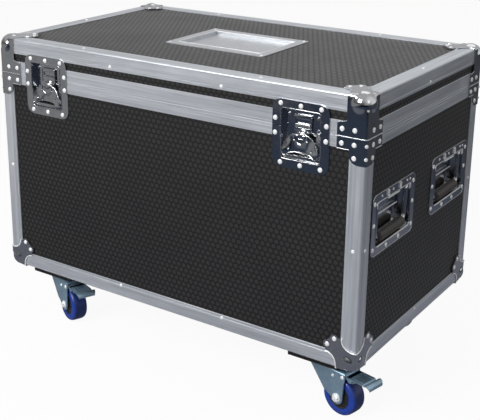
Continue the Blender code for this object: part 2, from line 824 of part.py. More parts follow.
def make_wing(frame, name, spindle):
    pivot = frame @ Matrix.Translation((0, -pivot_drop, 0))
    slot = ear_block_width / 2 + slide_gap
    block = ear_block_height / 2 + 3 * slide_gap
    right = [(slot, -block), (slot, slide_gap - wing_pin_radius), *wing_outline]
    outline = right + [(-u, v) for u, v in reversed(right)]
    plate_low = wing_axis - wing_thickness / 2
    plate_high = wing_axis + wing_thickness / 2
    wing = slab(outline, plate_low, plate_high, pivot)
    tip_high = wing_axis + wing_tip_rise
    for side in (-1, 1):
        start = slot if side > 0 else -slot - wing_ear_width
        ear_frame = aimed(pivot, (start, 0, wing_axis), (1, 0, 0))
        united(wing, pin(wing_ear_radius, 0, wing_ear_width, ear_frame, round_sides))
        rib = [(side * u, v) for u, v in wing_rib_outline]
        united(wing, slab(rib, plate_low + wing_thickness / 4, tip_high, pivot))
        tip = [(side * u, v) for u, v in wing_tip_outline]
        united(wing, slab(tip, tip_high - wing_thickness, tip_high, pivot))
    hole = bore(wing_pin_radius + bore_gap, -wing_pin_length, wing_pin_length,
                aimed(pivot, (0, 0, wing_axis), (1, 0, 0)), small_sides)
    settled(cut(wing, hole), name, chrome, spindle, pivot @ Vector((0, 0, wing_axis)))


def make_hook(frame, name):
    pivot = frame @ Matrix.Translation((0, -pivot_drop, 0))
    half, foot = hook_width / 2, hook_foot_width / 2
    waist = shaft_radius + slide_gap
    shoulder = waist - (half - foot) / 2
    outline = rounded([
        (-foot, -hook_foot, foot / 2), (foot, -hook_foot, foot / 2), (foot, shoulder), (half, waist),
        (half, hook_top, hook_corner), (-half, hook_top, hook_corner), (-half, waist), (-foot, shoulder)])
    channel = rounded([
        (-waist, -waist - hook_travel, waist * 0.9), (waist, -waist - hook_travel, waist * 0.9),
        (waist, waist, waist * 0.9), (-waist, waist, waist * 0.9)], steps=5)
    slot_half = hook_slot_width / 2
    slot = rectangle(-slot_half, slot_half, hook_slot_rise, hook_slot_rise + hook_slot_height, hook_corner / 2)
    hook = slab(outline, hook_low, hook_low + hook_thickness, pivot, [channel, slot])
    settled(hook, name, chrome, base, pivot @ Vector((0, 0, hook_low)))


# Handles

handle_flange = -panel_out + seat_gap


def handle_frame(face, side):
    return face @ Matrix.Translation((side * handle_place, handle_height, 0))


def make_handle_dish(frame, name):
    half_u, half_v = handle_flange_width / 2, handle_flange_height / 2
    outline = rectangle(-half_u, half_u, -half_v, half_v, handle_flange_corner)
    dish = slab(outline, handle_flange, handle_flange + handle_sheet, frame)
    open_u, open_v = handle_opening_width / 2, handle_opening_height / 2
    out_u, out_v = open_u + handle_sheet, open_v + handle_sheet
    tub = box(-out_u, out_u, -out_v, out_v, -handle_depth - handle_sheet, handle_flange + handle_sheet / 2, frame)
    hollow = slab(rectangle(-open_u, open_u, -open_v, open_v, handle_opening_corner), -handle_depth,
                  panel_in, frame)
    cut(united(dish, tub), hollow)
    axis = (0, bail_axis_rise, -bail_axis_depth)
    for side in (-1, 1):
        inner = bail_half_width + bail_rod_radius + slide_gap
        spans = sorted((side * inner, side * (inner + bail_ear_width)))
        ear = box(*spans, bail_axis_rise - bail_ear_drop, open_v + handle_sheet / 2,
                  -bail_axis_depth - bail_ear_drop, handle_flange, frame)
        united(dish, ear)
    hole = bore(bail_pin_radius + bore_gap, -bail_pin_end + 2 * slide_gap, bail_pin_end - 2 * slide_gap,
                aimed(frame, axis, (1, 0, 0)), small_sides)
    settled(cut(dish, hole), name, chrome, base)


def make_bail(frame, name):
    # The path is measured from the bail's axis
    arms = [(-bail_half_width, 0)]
    for side, start in ((-1, pi), (1, 1.5 * pi)):
        centre = (side * (bail_half_width - bail_bend), bail_bend - bail_drop)
        for k in range(corner_steps + 2):
            angle = start + pi / 2 * k / (corner_steps + 1)
            arms.append((centre[0] + bail_bend * cos(angle), centre[1] + bail_bend * sin(angle)))
    arms.append((bail_half_width, 0))
    hung = frame @ Matrix.Translation((0, bail_axis_rise, -bail_axis_depth))
    bail = rod(arms, bail_rod_radius, hung)
    for side in (-1, 1):
        inner, outer = bail_half_width - bail_rod_radius, bail_half_width + bail_rod_radius
        across = aimed(hung, (0, 0, 0), (side, 0, 0))
        united(bail, pin(bail_boss_radius, inner, outer, across, small_sides))
        united(bail, pin(bail_pin_radius, bail_half_width, bail_pin_end, across, small_sides))
    half = grip_length / 2
    grip = turned([
        (0, -half), (grip_radius * 0.8, -half), (grip_radius, -half + grip_radius * 0.3),
        (grip_radius, half - grip_radius * 0.3), (grip_radius * 0.8, half), (0, half)],
        aimed(hung, (0, -bail_drop, 0), (1, 0, 0)), round_sides)
    settled(united(bail, grip), name, grip_dark, base, hung @ Vector((0, 0, 0)))


# Hinges

def make_hinge_leaf(side, name, lower):
    frame = back_face @ Matrix.Translation((side * hinge_place, base_height, 0))
    sign = -1 if lower else 1
    half = hinge_leaf_width / 2
    gap = hinge_leaf_sheet
    lying = sorted((sign * gap, sign * (gap + hinge_leaf_height)))
    leaf = box(-half, half, *lying, seat_gap, seat_gap + hinge_leaf_sheet, frame)
    web = [
        (seat_gap + hinge_leaf_sheet / 2, sign * (gap + knuckle_radius)),
        (seat_gap + hinge_leaf_sheet, sign * (gap + 2 * knuckle_radius)),
        (hinge_axis_out + knuckle_radius * 0.5, sign * knuckle_radius * 0.8),
        (hinge_axis_out, 0), (hinge_axis_out - knuckle_radius * 0.9, sign * knuckle_radius * 0.1),
    ]
    middle = knuckle_length / 2
    spans = [(-half, -middle - seat_gap), (middle + seat_gap, half)] if lower else [(-middle, middle)]
    axis = aimed(frame, (0, 0, hinge_axis_out), (1, 0, 0))
    for start, end in spans:
        united(leaf, slab(web, start, end, sideways(frame)), pin(knuckle_radius, start, end, axis))
    if lower:
        united(leaf, pin(hinge_pin_radius, -middle - knuckle_radius, middle + knuckle_radius, axis, small_sides))
    else:
        cut(leaf, bore(hinge_pin_radius + hinge_bore_gap, -half, half, axis, small_sides))
    settled(leaf, name, zinc, base if lower else lid)


# Castors, modelled about the king pin with the trail along x and the floor at z = 0

plate_top = castor_height - seat_gap
plate_low = plate_top - plate_sheet
cup_low = plate_low - cup_depth
race_high = cup_low - seat_gap
crown_high = race_high - race_height
crown_low = crown_high - crown_thickness
nut_high = crown_low - seat_gap
axle_line = Matrix.Translation((castor_trail, 0, wheel_radius)) @ Matrix.Rotation(-pi / 2, 4, "X")


def make_castor_plate():
    half_x, half_y = plate_length / 2, plate_width / 2
    plate = slab(rectangle(-half_x, half_x, -half_y, half_y, plate_corner), plate_low, plate_top)
    overlap = plate_sheet / 2
    cup = turned([
        (0, plate_low + overlap), (0, nut_high - king_nut_height), (king_nut_radius, nut_high - king_nut_height),
        (king_nut_radius, nut_high), (king_pin_radius, nut_high), (king_pin_radius, cup_low + cup_depth / 2),
        (cup_mouth_radius - race_wall / 2, cup_low + cup_depth / 2), (cup_mouth_radius - race_wall / 2, cup_low),
        (cup_mouth_radius, cup_low), (cup_radius, cup_low + cup_depth / 2), (cup_radius, plate_low + overlap)])
    return united(plate, cup)


def make_fork():
    inner = fork_gap / 2
    outer = inner + fork_sheet
    side = inner + fork_sheet * 0.6
    crown = slab(rectangle(-crown_front, crown_back, -side, side, fork_sheet), crown_low, crown_high)
    race = turned([
        (race_radius - race_wall, crown_low + crown_thickness / 2), (race_radius, crown_low + crown_thickness / 2),
        (race_radius, race_high), (race_radius - race_wall, race_high)])
    united(crown, race)
    leg_top = crown_low + crown_thickness * 0.8
    boss = []
    for k in range(7):
        angle = radians(200 + 150 * k / 6)
        boss.append((castor_trail + fork_boss_radius * cos(angle), wheel_radius + fork_boss_radius * sin(angle)))
    leg = [
        (-crown_front + race_wall, leg_top), (-crown_front + race_wall, crown_low - 2 * fork_sheet), *boss,
        (pedal_pivot_trail + pedal_barrel_radius, pedal_pivot_height - pedal_barrel_radius),
        (pedal_pivot_trail + pedal_barrel_radius, leg_top),
    ]
    upright = Matrix(((1, 0, 0, 0), (0, 0, 1, 0), (0, 1, 0, 0), (0, 0, 0, 1)))
    for low, high in ((-outer, -inner), (inner, outer)):
        united(crown, slab(leg, low, high, upright))
    cut(crown, bore(king_pin_radius + slide_gap, 0, castor_height))
    united(crown, pin(axle_radius, -outer, outer, axle_line, round_sides))
    for side in (-1, 1):
        spans = sorted((side * (outer - fork_sheet / 2), side * (outer + axle_head_height)))
        united(crown, pin(axle_head_radius, *spans, axle_line, 6))
    return crown


def pedal_axis():
    return Matrix.Translation((pedal_pivot_trail, 0, pedal_pivot_height)) @ Matrix.Rotation(-pi / 2, 4, "X")


def with_pedal_pin(fork):
    reach = fork_gap / 2 + fork_sheet / 2
    return united(fork, pin(pedal_pin_radius, -reach, reach, pedal_axis(), small_sides))


def make_wheel():
    # The tyre stands on a flat facet, so its radius is measured to the facets
    half = wheel_width / 2
    hub = fork_gap / 2 - seat_gap
    corner = 1 / cos(pi / wheel_sides)
    profile = [(axle_radius + bore_gap, hub), (axle_radius + bore_gap, -hub)]
    side = [
        (axle_boss_radius, hub), (axle_boss_radius, half - hub_face_inset), (hub_radius, half - hub_face_inset),
        (hub_radius + hub_face_inset, half), (wheel_radius - tyre_shoulder, half),
        (wheel_radius - tyre_shoulder * 0.3, half - tyre_shoulder * 0.35), (wheel_radius, half - tyre_shoulder * 1.2),
    ]
    profile += [(radius, -w) for radius, w in side]
    profile += list(reversed(side))
    profile = [(radius * corner, w) for radius, w in profile]
    flat_down = pi / 2 + pi / wheel_sides
    return turned(profile, axle_line, wheel_sides, flat_down)


def shoe_bottom():
    # The shoe's inner edge comes down to just clear of the tyre when the pedal is at its stroke's end
    stroke = radians(pedal_stroke)
    out, down = castor_trail - pedal_pivot_trail, wheel_radius - pedal_pivot_height
    wheel_x = out * cos(stroke) - down * sin(stroke)
    wheel_z = out * sin(stroke) + down * cos(stroke)
    reach = wheel_radius / cos(pi / wheel_sides) + shoe_clearance
    across = pedal_start - pedal_pivot_trail - wheel_x
    return pedal_pivot_height + wheel_z + sqrt(reach ** 2 - across ** 2)


def make_pedal():
    root = fork_gap / 2 - 2 * seat_gap
    barrel = pin(pedal_barrel_radius, -root, root, pedal_axis())
    half = pedal_width / 2
    low = pedal_pivot_height + pedal_rise - pedal_sheet
    neck = box(pedal_pivot_trail, pedal_start + pedal_sheet, -root, root, low, low + pedal_sheet)
    tread = slab(rectangle(pedal_start, pedal_end, -half, half, 2 * pedal_sheet), low, low + pedal_sheet)
    lip = []
    steps = 5
    reach = pedal_lip_end - pedal_end + pedal_sheet
    for radius_in, order in ((0, range(steps + 1)), (pedal_sheet, reversed(range(steps + 1)))):
        for k in order:
            angle = radians(-90 + 120 * k / steps)
            radius = reach / 2 - radius_in
            centre = (pedal_lip_end - reach / 2 - pedal_sheet, low + reach / 2)
            lip.append((centre[0] + radius * cos(angle), centre[1] + radius * sin(angle)))
    upright = Matrix(((1, 0, 0, 0), (0, 0, 1, 0), (0, 1, 0, 0), (0, 0, 0, 1)))
    curl = slab(lip, -half, half, upright)
    link = box(pedal_end - 2 * pedal_sheet, pedal_lip_end - reach / 2, -half, half, low, low + pedal_sheet)
    shoe = box(pedal_start, pedal_start + shoe_length, -shoe_width / 2, shoe_width / 2, shoe_bottom(),
               low + pedal_sheet / 2)
    united(barrel, neck, tread, link, curl, shoe)
    return cut(barrel, bore(pedal_pin_radius + bore_gap, -pedal_width, pedal_width, pedal_axis(), small_sides))


def make_castors():
    plate = make_castor_plate()
    fork = make_fork()
    braked = with_pedal_pin(make_fork())
    wheel = make_wheel()
    pedal = make_pedal()
    patterns = (plate, fork, braked, wheel, pedal)
    for where, degrees in swivel_turns.items():
        side_x = 1 if "right" in where else -1
        side_y = 1 if "back" in where else -1
        x = side_x * (half_length - castor_inset_end) - case_shift
        y = side_y * (half_depth - castor_inset_side)
        stand = Matrix.Translation((x, y, 0))
        turned_stand = stand @ Matrix.Rotation(radians(degrees), 4, "Z")
        front = "front" in where
        placed(plate, stand, "castor_plate_" + where, zinc, base, (0, 0, plate_low))
        fork_piece = placed(braked if front else fork, turned_stand, "castor_fork_" + where, zinc, base,
                            (0, 0, crown_high))
        placed(wheel, turned_stand, "castor_wheel_" + where, tyre_blue, fork_piece,
               (castor_trail, 0, wheel_radius))
        if front:
            placed(pedal, turned_stand, "brake_pedal_" + where, zinc, fork_piece,
                   (pedal_pivot_trail, 0, pedal_pivot_height))
    for pattern in patterns:
        bpy.data.objects.remove(pattern)


def placed(pattern, stand, name, material, parent, origin):
    # A copy of a castor piece on its stand, with its own origin
    mesh = pattern.data.copy()
    made = bpy.data.objects.new(name, mesh)
    bpy.context.scene.collection.objects.link(made)
    mesh.transform(stand)
    turn = stand.to_euler().z
    return settled(made, name, material, parent, stand @ Vector(origin), turn)


make_floor_panel()
make_long_panel(front_face, "front_panel", True)
make_long_panel(back_face, "back_panel", False)
make_end_panel(right_face, "right_panel")
make_end_panel(left_face, "left_panel")
make_base_edge_frame()
make_base_rim()
make_lid_rim()
make_lid_wall_band()
make_lid_edge_frame()
make_lid_top_panel()
make_label_dish()
place_corner_set(make_bottom_corner, "bottom_corner_", case_bottom, chrome, base)
place_corner_set(make_base_brace, "base_brace_", case_bottom + base_height, chrome, base)
place_corner_set(make_lid_corner, "lid_corner_", case_top, chrome, lid)
for latch_name, latch_side in (("left", -1), ("right", 1)):
    latch = latch_frame(latch_side)
    make_latch_dish(latch, "latch_dish_" + latch_name)
    make_latch_strike(latch, "latch_strike_" + latch_name)
    make_wing(latch, "latch_wing_" + latch_name, make_spindle(latch, "latch_spindle_" + latch_name))
    make_hook(latch, "latch_hook_" + latch_name)
for end_name, end_face, front_side in (("right", right_face, -1), ("left", left_face, 1)):
    for place_name, place_side in (("front", front_side), ("back", -front_side)):
        handle = handle_frame(end_face, place_side)
        make_handle_dish(handle, f"handle_dish_{end_name}_{place_name}")
        make_bail(handle, f"handle_bail_{end_name}_{place_name}")
for hinge_name, hinge_side in (("right", -1), ("left", 1)):
    make_hinge_leaf(hinge_side, "hinge_leaf_base_" + hinge_name, True)
    make_hinge_leaf(hinge_side, "hinge_leaf_lid_" + hinge_name, False)
make_castors()
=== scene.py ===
import json
from math import atan2, cos, pi, radians, sin, sqrt, tan

import bpy
from mathutils import Euler, Matrix, Vector


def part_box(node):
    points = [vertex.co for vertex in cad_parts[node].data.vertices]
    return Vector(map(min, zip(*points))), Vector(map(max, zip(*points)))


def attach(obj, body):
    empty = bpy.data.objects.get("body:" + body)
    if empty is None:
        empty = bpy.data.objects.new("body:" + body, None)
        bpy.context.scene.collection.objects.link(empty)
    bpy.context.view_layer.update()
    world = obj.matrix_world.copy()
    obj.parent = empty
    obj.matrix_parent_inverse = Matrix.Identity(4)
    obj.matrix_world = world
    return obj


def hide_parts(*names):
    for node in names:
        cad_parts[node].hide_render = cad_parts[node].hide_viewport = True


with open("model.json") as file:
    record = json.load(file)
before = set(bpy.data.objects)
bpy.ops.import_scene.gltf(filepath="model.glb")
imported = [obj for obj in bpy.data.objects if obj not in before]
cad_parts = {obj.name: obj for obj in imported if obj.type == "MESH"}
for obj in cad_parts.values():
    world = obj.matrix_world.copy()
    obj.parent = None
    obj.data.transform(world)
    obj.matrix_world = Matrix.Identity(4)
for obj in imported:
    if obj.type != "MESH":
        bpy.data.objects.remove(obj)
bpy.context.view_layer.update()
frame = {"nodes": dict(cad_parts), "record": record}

# Looks for the flight case: finishes on every CAD piece, and the fine fittings that the eye looks for.
# Metres throughout. Each face of the case has its own u (along), v (up) and w (outwards).

nodes = frame["nodes"]
corners = ("front_left", "front_right", "back_right", "back_left")

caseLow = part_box("base_edge_frame")[0]
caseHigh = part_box("lid_edge_frame")[1]
joinHeight = (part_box("base_rim")[1].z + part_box("lid_corner_front_left")[0].z) / 2
caseMiddle = (caseLow + caseHigh) / 2
halfLength = (caseHigh.x - caseLow.x) / 2
halfDepth = (caseHigh.y - caseLow.y) / 2


def faceFrame(origin, along, up):
    along, up = Vector(along), Vector(up)
    return Matrix.Translation(origin) @ Matrix((along, up, along.cross(up))).transposed().to_4x4()


frontFace = faceFrame((caseMiddle.x, caseLow.y, caseLow.z), (1, 0, 0), (0, 0, 1))
backFace = faceFrame((caseMiddle.x, caseHigh.y, caseLow.z), (-1, 0, 0), (0, 0, 1))
rightFace = faceFrame((caseHigh.x, 0, caseLow.z), (0, 1, 0), (0, 0, 1))
leftFace = faceFrame((caseLow.x, 0, caseLow.z), (0, -1, 0), (0, 0, 1))
topFace = faceFrame((caseMiddle.x, 0, caseHigh.z), (1, 0, 0), (0, 1, 0))
baseHeight = joinHeight - caseLow.z
wholeHeight = caseHigh.z - caseLow.z


# Handling objects

def clearSelection():
    bpy.ops.object.select_all(action="DESELECT")


def takeNew(name):
    piece = bpy.context.object
    piece.name = name
    piece.data.name = name
    return piece


def pick(*pieces):
    clearSelection()
    for piece in pieces:
        piece.select_set(True)
    bpy.context.view_layer.objects.active = pieces[0]


def fixPlace(piece):
    pick(piece)
    bpy.ops.object.transform_apply(location=True, rotation=True, scale=True)
    return piece


def moveBy(piece, matrix):
    piece.matrix_world = matrix @ piece.matrix_world
    return fixPlace(piece)


def modify(piece, kind, **settings):
    pick(piece)
    modifier = piece.modifiers.new(kind.lower(), kind)
    for key, value in settings.items():
        setattr(modifier, key, value)
    bpy.ops.object.modifier_apply(modifier=modifier.name)
    return piece


def copyOf(piece, name, matrix=Matrix()):
    made = piece.copy()
    made.data = piece.data.copy()
    made.name = name
    made.data.name = name
    bpy.context.scene.collection.objects.link(made)
    return moveBy(made, matrix)


def joined(name, pieces):
    pick(*pieces)
    if len(pieces) > 1:
        bpy.ops.object.join()
    return takeNew(name)


def combine(piece, other, operation="DIFFERENCE", solver="EXACT"):
    modify(piece, "BOOLEAN", object=other, operation=operation, solver=solver)
    bpy.data.objects.remove(other)
    return piece


def smooth(piece, degrees=35):
    pick(piece)
    bpy.ops.object.shade_smooth_by_angle(angle=radians(degrees))
    return piece


def softEdges(piece, width, segments=2, degrees=35):
    modify(piece, "BEVEL", width=width, segments=segments, limit_method="ANGLE", angle_limit=radians(degrees))
    return smooth(piece)


def tidyMesh(piece):
    # Merges doubles and points the faces outwards
    pick(piece)
    bpy.ops.object.mode_set(mode="EDIT")
    bpy.ops.mesh.select_all(action="SELECT")
    bpy.ops.mesh.remove_doubles(threshold=0.00001)
    bpy.ops.mesh.normals_make_consistent(inside=False)
    bpy.ops.object.mode_set(mode="OBJECT")
    return piece


def finishPiece(piece, material, body):
    piece.data.materials.clear()
    piece.data.materials.append(material)
    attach(piece, body)
    return piece


def spread(pattern, stem, material, places):
    # A pattern is modelled once and copied to each place: the name's end, frame, body and node replaced
    for ending, frameHere, body, node in places:
        piece = finishPiece(copyOf(pattern, stem + ending, frameHere), material, body)
        if node:
            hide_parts(node)
    bpy.data.objects.remove(pattern)


def onlyRiding(places):
    # The same places for a piece that replaces no node
    return [(*place[:3], None) for place in places]


# Making shapes

def block(name, low, high):
    low, high = Vector(low), Vector(high)
    clearSelection()
    bpy.ops.mesh.primitive_cube_add(size=1, location=(low + high) / 2, scale=high - low)
    return fixPlace(takeNew(name))


def roundedPath(path, steps=5):
    # Corners given as (u, v, radius) become arcs
    points = []
    for i, corner in enumerate(path):
        here = Vector(corner[:2])
        if len(corner) < 3:
            points.append(tuple(here))
            continue
        before = (Vector(path[i - 1][:2]) - here).normalized()
        after = (Vector(path[(i + 1) % len(path)][:2]) - here).normalized()
        half = before.angle(after) / 2
        centre = here + (before + after).normalized() * corner[2] / sin(half)
        first = here + before * corner[2] / tan(half) - centre
        last = here + after * corner[2] / tan(half) - centre
        turn = atan2(first.x * last.y - first.y * last.x, first.dot(last))
        for k in range(steps + 1):
            swung = Matrix.Rotation(turn * k / steps, 2) @ first
            points.append(tuple(centre + swung))
    return points


def rectanglePath(lowU, highU, lowV, highV, radius, steps=5):
    path = [(lowU, lowV, radius), (highU, lowV, radius), (highU, highV, radius), (lowU, highV, radius)]
    return roundedPath(path, steps)


def arcPath(centre, radius, startDegrees, endDegrees, steps):
    angles = [radians(startDegrees + (endDegrees - startDegrees) * k / steps) for k in range(steps + 1)]
    return [(centre[0] + radius * cos(a), centre[1] + radius * sin(a)) for a in angles]


def newCurve(name, loops, closed, dimensions):
    clearSelection()
    bpy.ops.curve.primitive_bezier_curve_add()
    piece = takeNew(name)
    piece.data.splines.clear()
    piece.data.dimensions = dimensions
    for loop in loops:
        spline = piece.data.splines.new("POLY")
        spline.points.add(len(loop) - 1)
        for point, place in zip(spline.points, loop):
            point.co = (*place, 1) if len(place) == 3 else (*place, 0, 1)
        spline.use_cyclic_u = closed
    return piece


def stamped(name, outline, low, high, rounding=0.0004, holes=()):
    # A plate pressed from sheet, from its outline, with its edges eased
    piece = newCurve(name, [outline, *holes], True, "2D")
    piece.data.fill_mode = "BOTH"
    piece.data.extrude = (high - low) / 2 - rounding
    piece.data.bevel_depth = rounding
    piece.data.bevel_resolution = 1
    piece.data.offset = -rounding
    piece.location.z = (low + high) / 2
    pick(piece)
    bpy.ops.object.convert(target="MESH")
    return smooth(tidyMesh(fixPlace(bpy.context.object)))


def tube(name, points, radius, closed=False, sides=2):
    piece = newCurve(name, [points], closed, "3D")
    piece.data.bevel_depth = radius
    piece.data.bevel_resolution = sides
    piece.data.use_fill_caps = not closed
    pick(piece)
    bpy.ops.object.convert(target="MESH")
    return smooth(tidyMesh(bpy.context.object), 50)


def turned(name, profile, sides=24):
    # Starts as a circle and is extruded and resized up the profile of (radius, height)
    clearSelection()
    radius, height = profile[0]
    bpy.ops.mesh.primitive_circle_add(vertices=sides, radius=radius, location=(0, 0, height),
                                      fill_type="NGON")
    piece = fixPlace(takeNew(name))
    bpy.ops.object.mode_set(mode="EDIT")
    bpy.ops.mesh.select_all(action="SELECT")
    for nextRadius, nextHeight in profile[1:]:
        bpy.ops.mesh.extrude_region_move(TRANSFORM_OT_translate={"value": (0, 0, nextHeight - height)})
        share = nextRadius / radius
        bpy.ops.transform.resize(value=(share, share, 1), center_override=(0, 0, nextHeight))
        radius, height = nextRadius, nextHeight
    bpy.ops.mesh.select_all(action="SELECT")
    bpy.ops.mesh.normals_make_consistent(inside=False)
    bpy.ops.object.mode_set(mode="OBJECT")
    return smooth(piece)


def aimed(direction):
    return Vector(direction).to_track_quat("Z", "Y").to_matrix().to_4x4()


def sliced(piece, place, outward):
    # Cuts away what lies beyond a plane and closes the cut
    pick(piece)
    bpy.ops.object.mode_set(mode="EDIT")
    bpy.ops.mesh.select_all(action="SELECT")
    bpy.ops.mesh.bisect(plane_co=place, plane_no=outward, use_fill=True, clear_outer=True)
    bpy.ops.object.mode_set(mode="OBJECT")
    return piece


# Camera, at the photograph's viewing angle

camera = {
    "place": (1.0846, -1.6578, 1.0231),
    "azimuth": 34.62,
    "elevation": 17.68,
    "roll": 0.32,
    "lens": 76.43,
    "shiftX": 0.050,
    "shiftY": -0.125,
}


def addCamera():
    clearSelection()
    bpy.ops.object.camera_add(location=camera["place"])
    piece = takeNew("photoCamera")
    aim = Euler((radians(90 - camera["elevation"]), 0, radians(camera["azimuth"]))).to_matrix()
    piece.rotation_euler = (aim @ Matrix.Rotation(radians(camera["roll"]), 3, "Z")).to_euler()
    piece.data.lens = camera["lens"]
    piece.data.sensor_width = 36
    piece.data.shift_x = camera["shiftX"]
    piece.data.shift_y = camera["shiftY"]
    piece.data.clip_end = 100
    piece.data.dof.use_dof = False
    bpy.context.scene.camera = piece


addCamera()


# Shader building

def newMaterial(name):
    material = bpy.data.materials.new(name)
    material.use_nodes = True
    tree = material.node_tree
    return material, tree, tree.nodes["Principled BSDF"]


def newNode(tree, kind, **settings):
    node = tree.nodes.new(kind)
    for key, value in settings.items():
        setattr(node, key, value)
    return node


def feed(tree, socket, value):
    if isinstance(value, bpy.types.NodeSocket):
        tree.links.new(value, socket)
    else:
        socket.default_value = value


def calc(tree, operation, *values):
    node = newNode(tree, "ShaderNodeMath", operation=operation)
    for socket, value in zip(node.inputs, values):
        feed(tree, socket, value)
    return node.outputs[0]


def plus(tree, first, second):
    return calc(tree, "ADD", first, second)


def times(tree, first, second):
    return calc(tree, "MULTIPLY", first, second)


def blendColours(tree, share, first, second):
    node = newNode(tree, "ShaderNodeMix", data_type="RGBA")
    feed(tree, node.inputs["Factor"], share)
    feed(tree, node.inputs[6], first)
    feed(tree, node.inputs[7], second)
    return node.outputs[2]


def remap(tree, value, fromLow, fromHigh, toLow, toHigh, smoothly=False):
    node = newNode(tree, "ShaderNodeMapRange")
    node.interpolation_type = "SMOOTHSTEP" if smoothly else "LINEAR"
    for socket, item in zip(node.inputs, (value, fromLow, fromHigh, toLow, toHigh)):
        feed(tree, socket, item)
    return node.outputs[0]


def objectPlace(tree):
    return newNode(tree, "ShaderNodeTexCoord").outputs["Object"]


def stretched(tree, vector, scale):
    node = newNode(tree, "ShaderNodeMapping")
    feed(tree, node.inputs["Vector"], vector)
    node.inputs["Scale"].default_value = scale
    return node.outputs[0]


def noise(tree, vector, scale, detail=3.0, roughness=0.55):
    node = newNode(tree, "ShaderNodeTexNoise")
    feed(tree, node.inputs["Vector"], vector)
    feed(tree, node.inputs["Scale"], scale)
    node.inputs["Detail"].default_value = detail
    node.inputs["Roughness"].default_value = roughness
    return node.outputs["Fac"]


def bump(tree, shader, height, strength, distance):
    node = newNode(tree, "ShaderNodeBump")
    node.inputs["Strength"].default_value = strength
    node.inputs["Distance"].default_value = distance
    feed(tree, node.inputs["Height"], height)
    feed(tree, shader.inputs["Normal"], node.outputs[0])


def newGroup(name, inputs, outputs):
    group = bpy.data.node_groups.new(name, "ShaderNodeTree")
    for label, kind, value in inputs:
        socket = group.interface.new_socket(label, in_out="INPUT", socket_type=kind)
        if value is not None:
            socket.default_value = value
    for label in outputs:
        group.interface.new_socket(label, in_out="OUTPUT", socket_type="NodeSocketFloat")
    return group, newNode(group, "NodeGroupInput"), newNode(group, "NodeGroupOutput")


def useGroup(tree, group, **values):
    node = newNode(tree, "ShaderNodeGroup", node_tree=group)
    for label, value in values.items():
        feed(tree, node.inputs[label], value)
    return node.outputs


def hexagonGroup():
    # A honeycomb on whichever axis plane the surface lies in: 1 inside a cell, 0 in the groove round it
    group, given, out = newGroup("hexagonCells", [
        ("Place", "NodeSocketVector", None), ("Facing", "NodeSocketVector", None),
        ("Pitch", "NodeSocketFloat", 0.01), ("Groove", "NodeSocketFloat", 0.1)], ["Cell", "Middle"])
    place = newNode(group, "ShaderNodeSeparateXYZ")
    facing = newNode(group, "ShaderNodeSeparateXYZ")
    feed(group, place.inputs[0], given.outputs["Place"])
    feed(group, facing.inputs[0], given.outputs["Facing"])
    sideways = calc(group, "GREATER_THAN", calc(group, "ABSOLUTE", facing.outputs[0]), 0.7)
    upwards = calc(group, "GREATER_THAN", calc(group, "ABSOLUTE", facing.outputs[2]), 0.7)

    def choose(first, second, share):
        rest = calc(group, "SUBTRACT", 1.0, share)
        return plus(group, times(group, first, rest), times(group, second, share))

    def centred(value, offset, period):
        wrapped = calc(group, "FLOORED_MODULO", plus(group, value, offset), period)
        return calc(group, "SUBTRACT", wrapped, period / 2)

    u = calc(group, "DIVIDE", choose(place.outputs[0], place.outputs[1], sideways), given.outputs["Pitch"])
    v = calc(group, "DIVIDE", choose(place.outputs[2], place.outputs[1], upwards), given.outputs["Pitch"])
    rows = sqrt(3)

    def nearest(offsetU, offsetV):
        a, b = centred(u, offsetU, 1.0), centred(v, offsetV, rows)
        size = plus(group, times(group, a, a), times(group, b, b))
        return calc(group, "ABSOLUTE", a), calc(group, "ABSOLUTE", b), size

    firstU, firstV, firstSize = nearest(0.0, 0.0)
    secondU, secondV, secondSize = nearest(0.5, rows / 2)
    second = calc(group, "LESS_THAN", secondSize, firstSize)
    a = choose(firstU, secondU, second)
    b = choose(firstV, secondV, second)
    slanted = plus(group, times(group, a, 0.5), times(group, b, rows / 2))
    reach = calc(group, "MAXIMUM", a, slanted)
    edge = calc(group, "SUBTRACT", 0.5, given.outputs["Groove"])
    cell = remap(group, calc(group, "SUBTRACT", edge, reach), -0.02, 0.09, 0.0, 1.0, True)
    feed(group, out.inputs["Cell"], cell)
    feed(group, out.inputs["Middle"], remap(group, reach, 0.05, 0.26, 1.0, 0.0, True))
    return group


def streakGroup():
    # Long fine lines along one axis, as rolling and brushing leave them
    group, given, out = newGroup("brushedStreaks", [
        ("Place", "NodeSocketVector", None), ("Fineness", "NodeSocketFloat", 900.0)], ["Streak", "Band"])
    fine = noise(group, given.outputs["Place"], given.outputs["Fineness"], 4.0, 0.7)
    feed(group, out.inputs["Streak"], fine)
    wide = noise(group, given.outputs["Place"], times(group, given.outputs["Fineness"], 0.17), 2.0)
    feed(group, out.inputs["Band"], wide)
    return group


def handlingGroup():
    # Smudges, and rubbed spots scattered over them
    group, given, out = newGroup("handlingMarks", [
        ("Place", "NodeSocketVector", None), ("Size", "NodeSocketFloat", 30.0)], ["Smudge", "Rub"])
    cloud = noise(group, given.outputs["Place"], given.outputs["Size"], 4.0, 0.6)
    feed(group, out.inputs["Smudge"], remap(group, cloud, 0.35, 0.7, 0.0, 1.0, True))
    speck = noise(group, given.outputs["Place"], times(group, given.outputs["Size"], 9.0), 5.0, 0.7)
    feed(group, out.inputs["Rub"], remap(group, speck, 0.6, 0.75, 0.0, 1.0, True))
    return group


hexagons = hexagonGroup()
streaks = streakGroup()
handling = handlingGroup()


# Finishes

laminate = {
    "cell": (0.028, 0.0265, 0.027, 1),
    "groove": (0.0015, 0.0015, 0.0020, 1),
    "pitch": 0.0112,
    "grooveWidth": 0.145,
    "middle": 0.62,      # how much darker the middle of a cell is
    "relief": 0.00022,
    "gloss": 0.45,
    "sheen": 0.30,
    "sheenRoughness": 0.3,
}


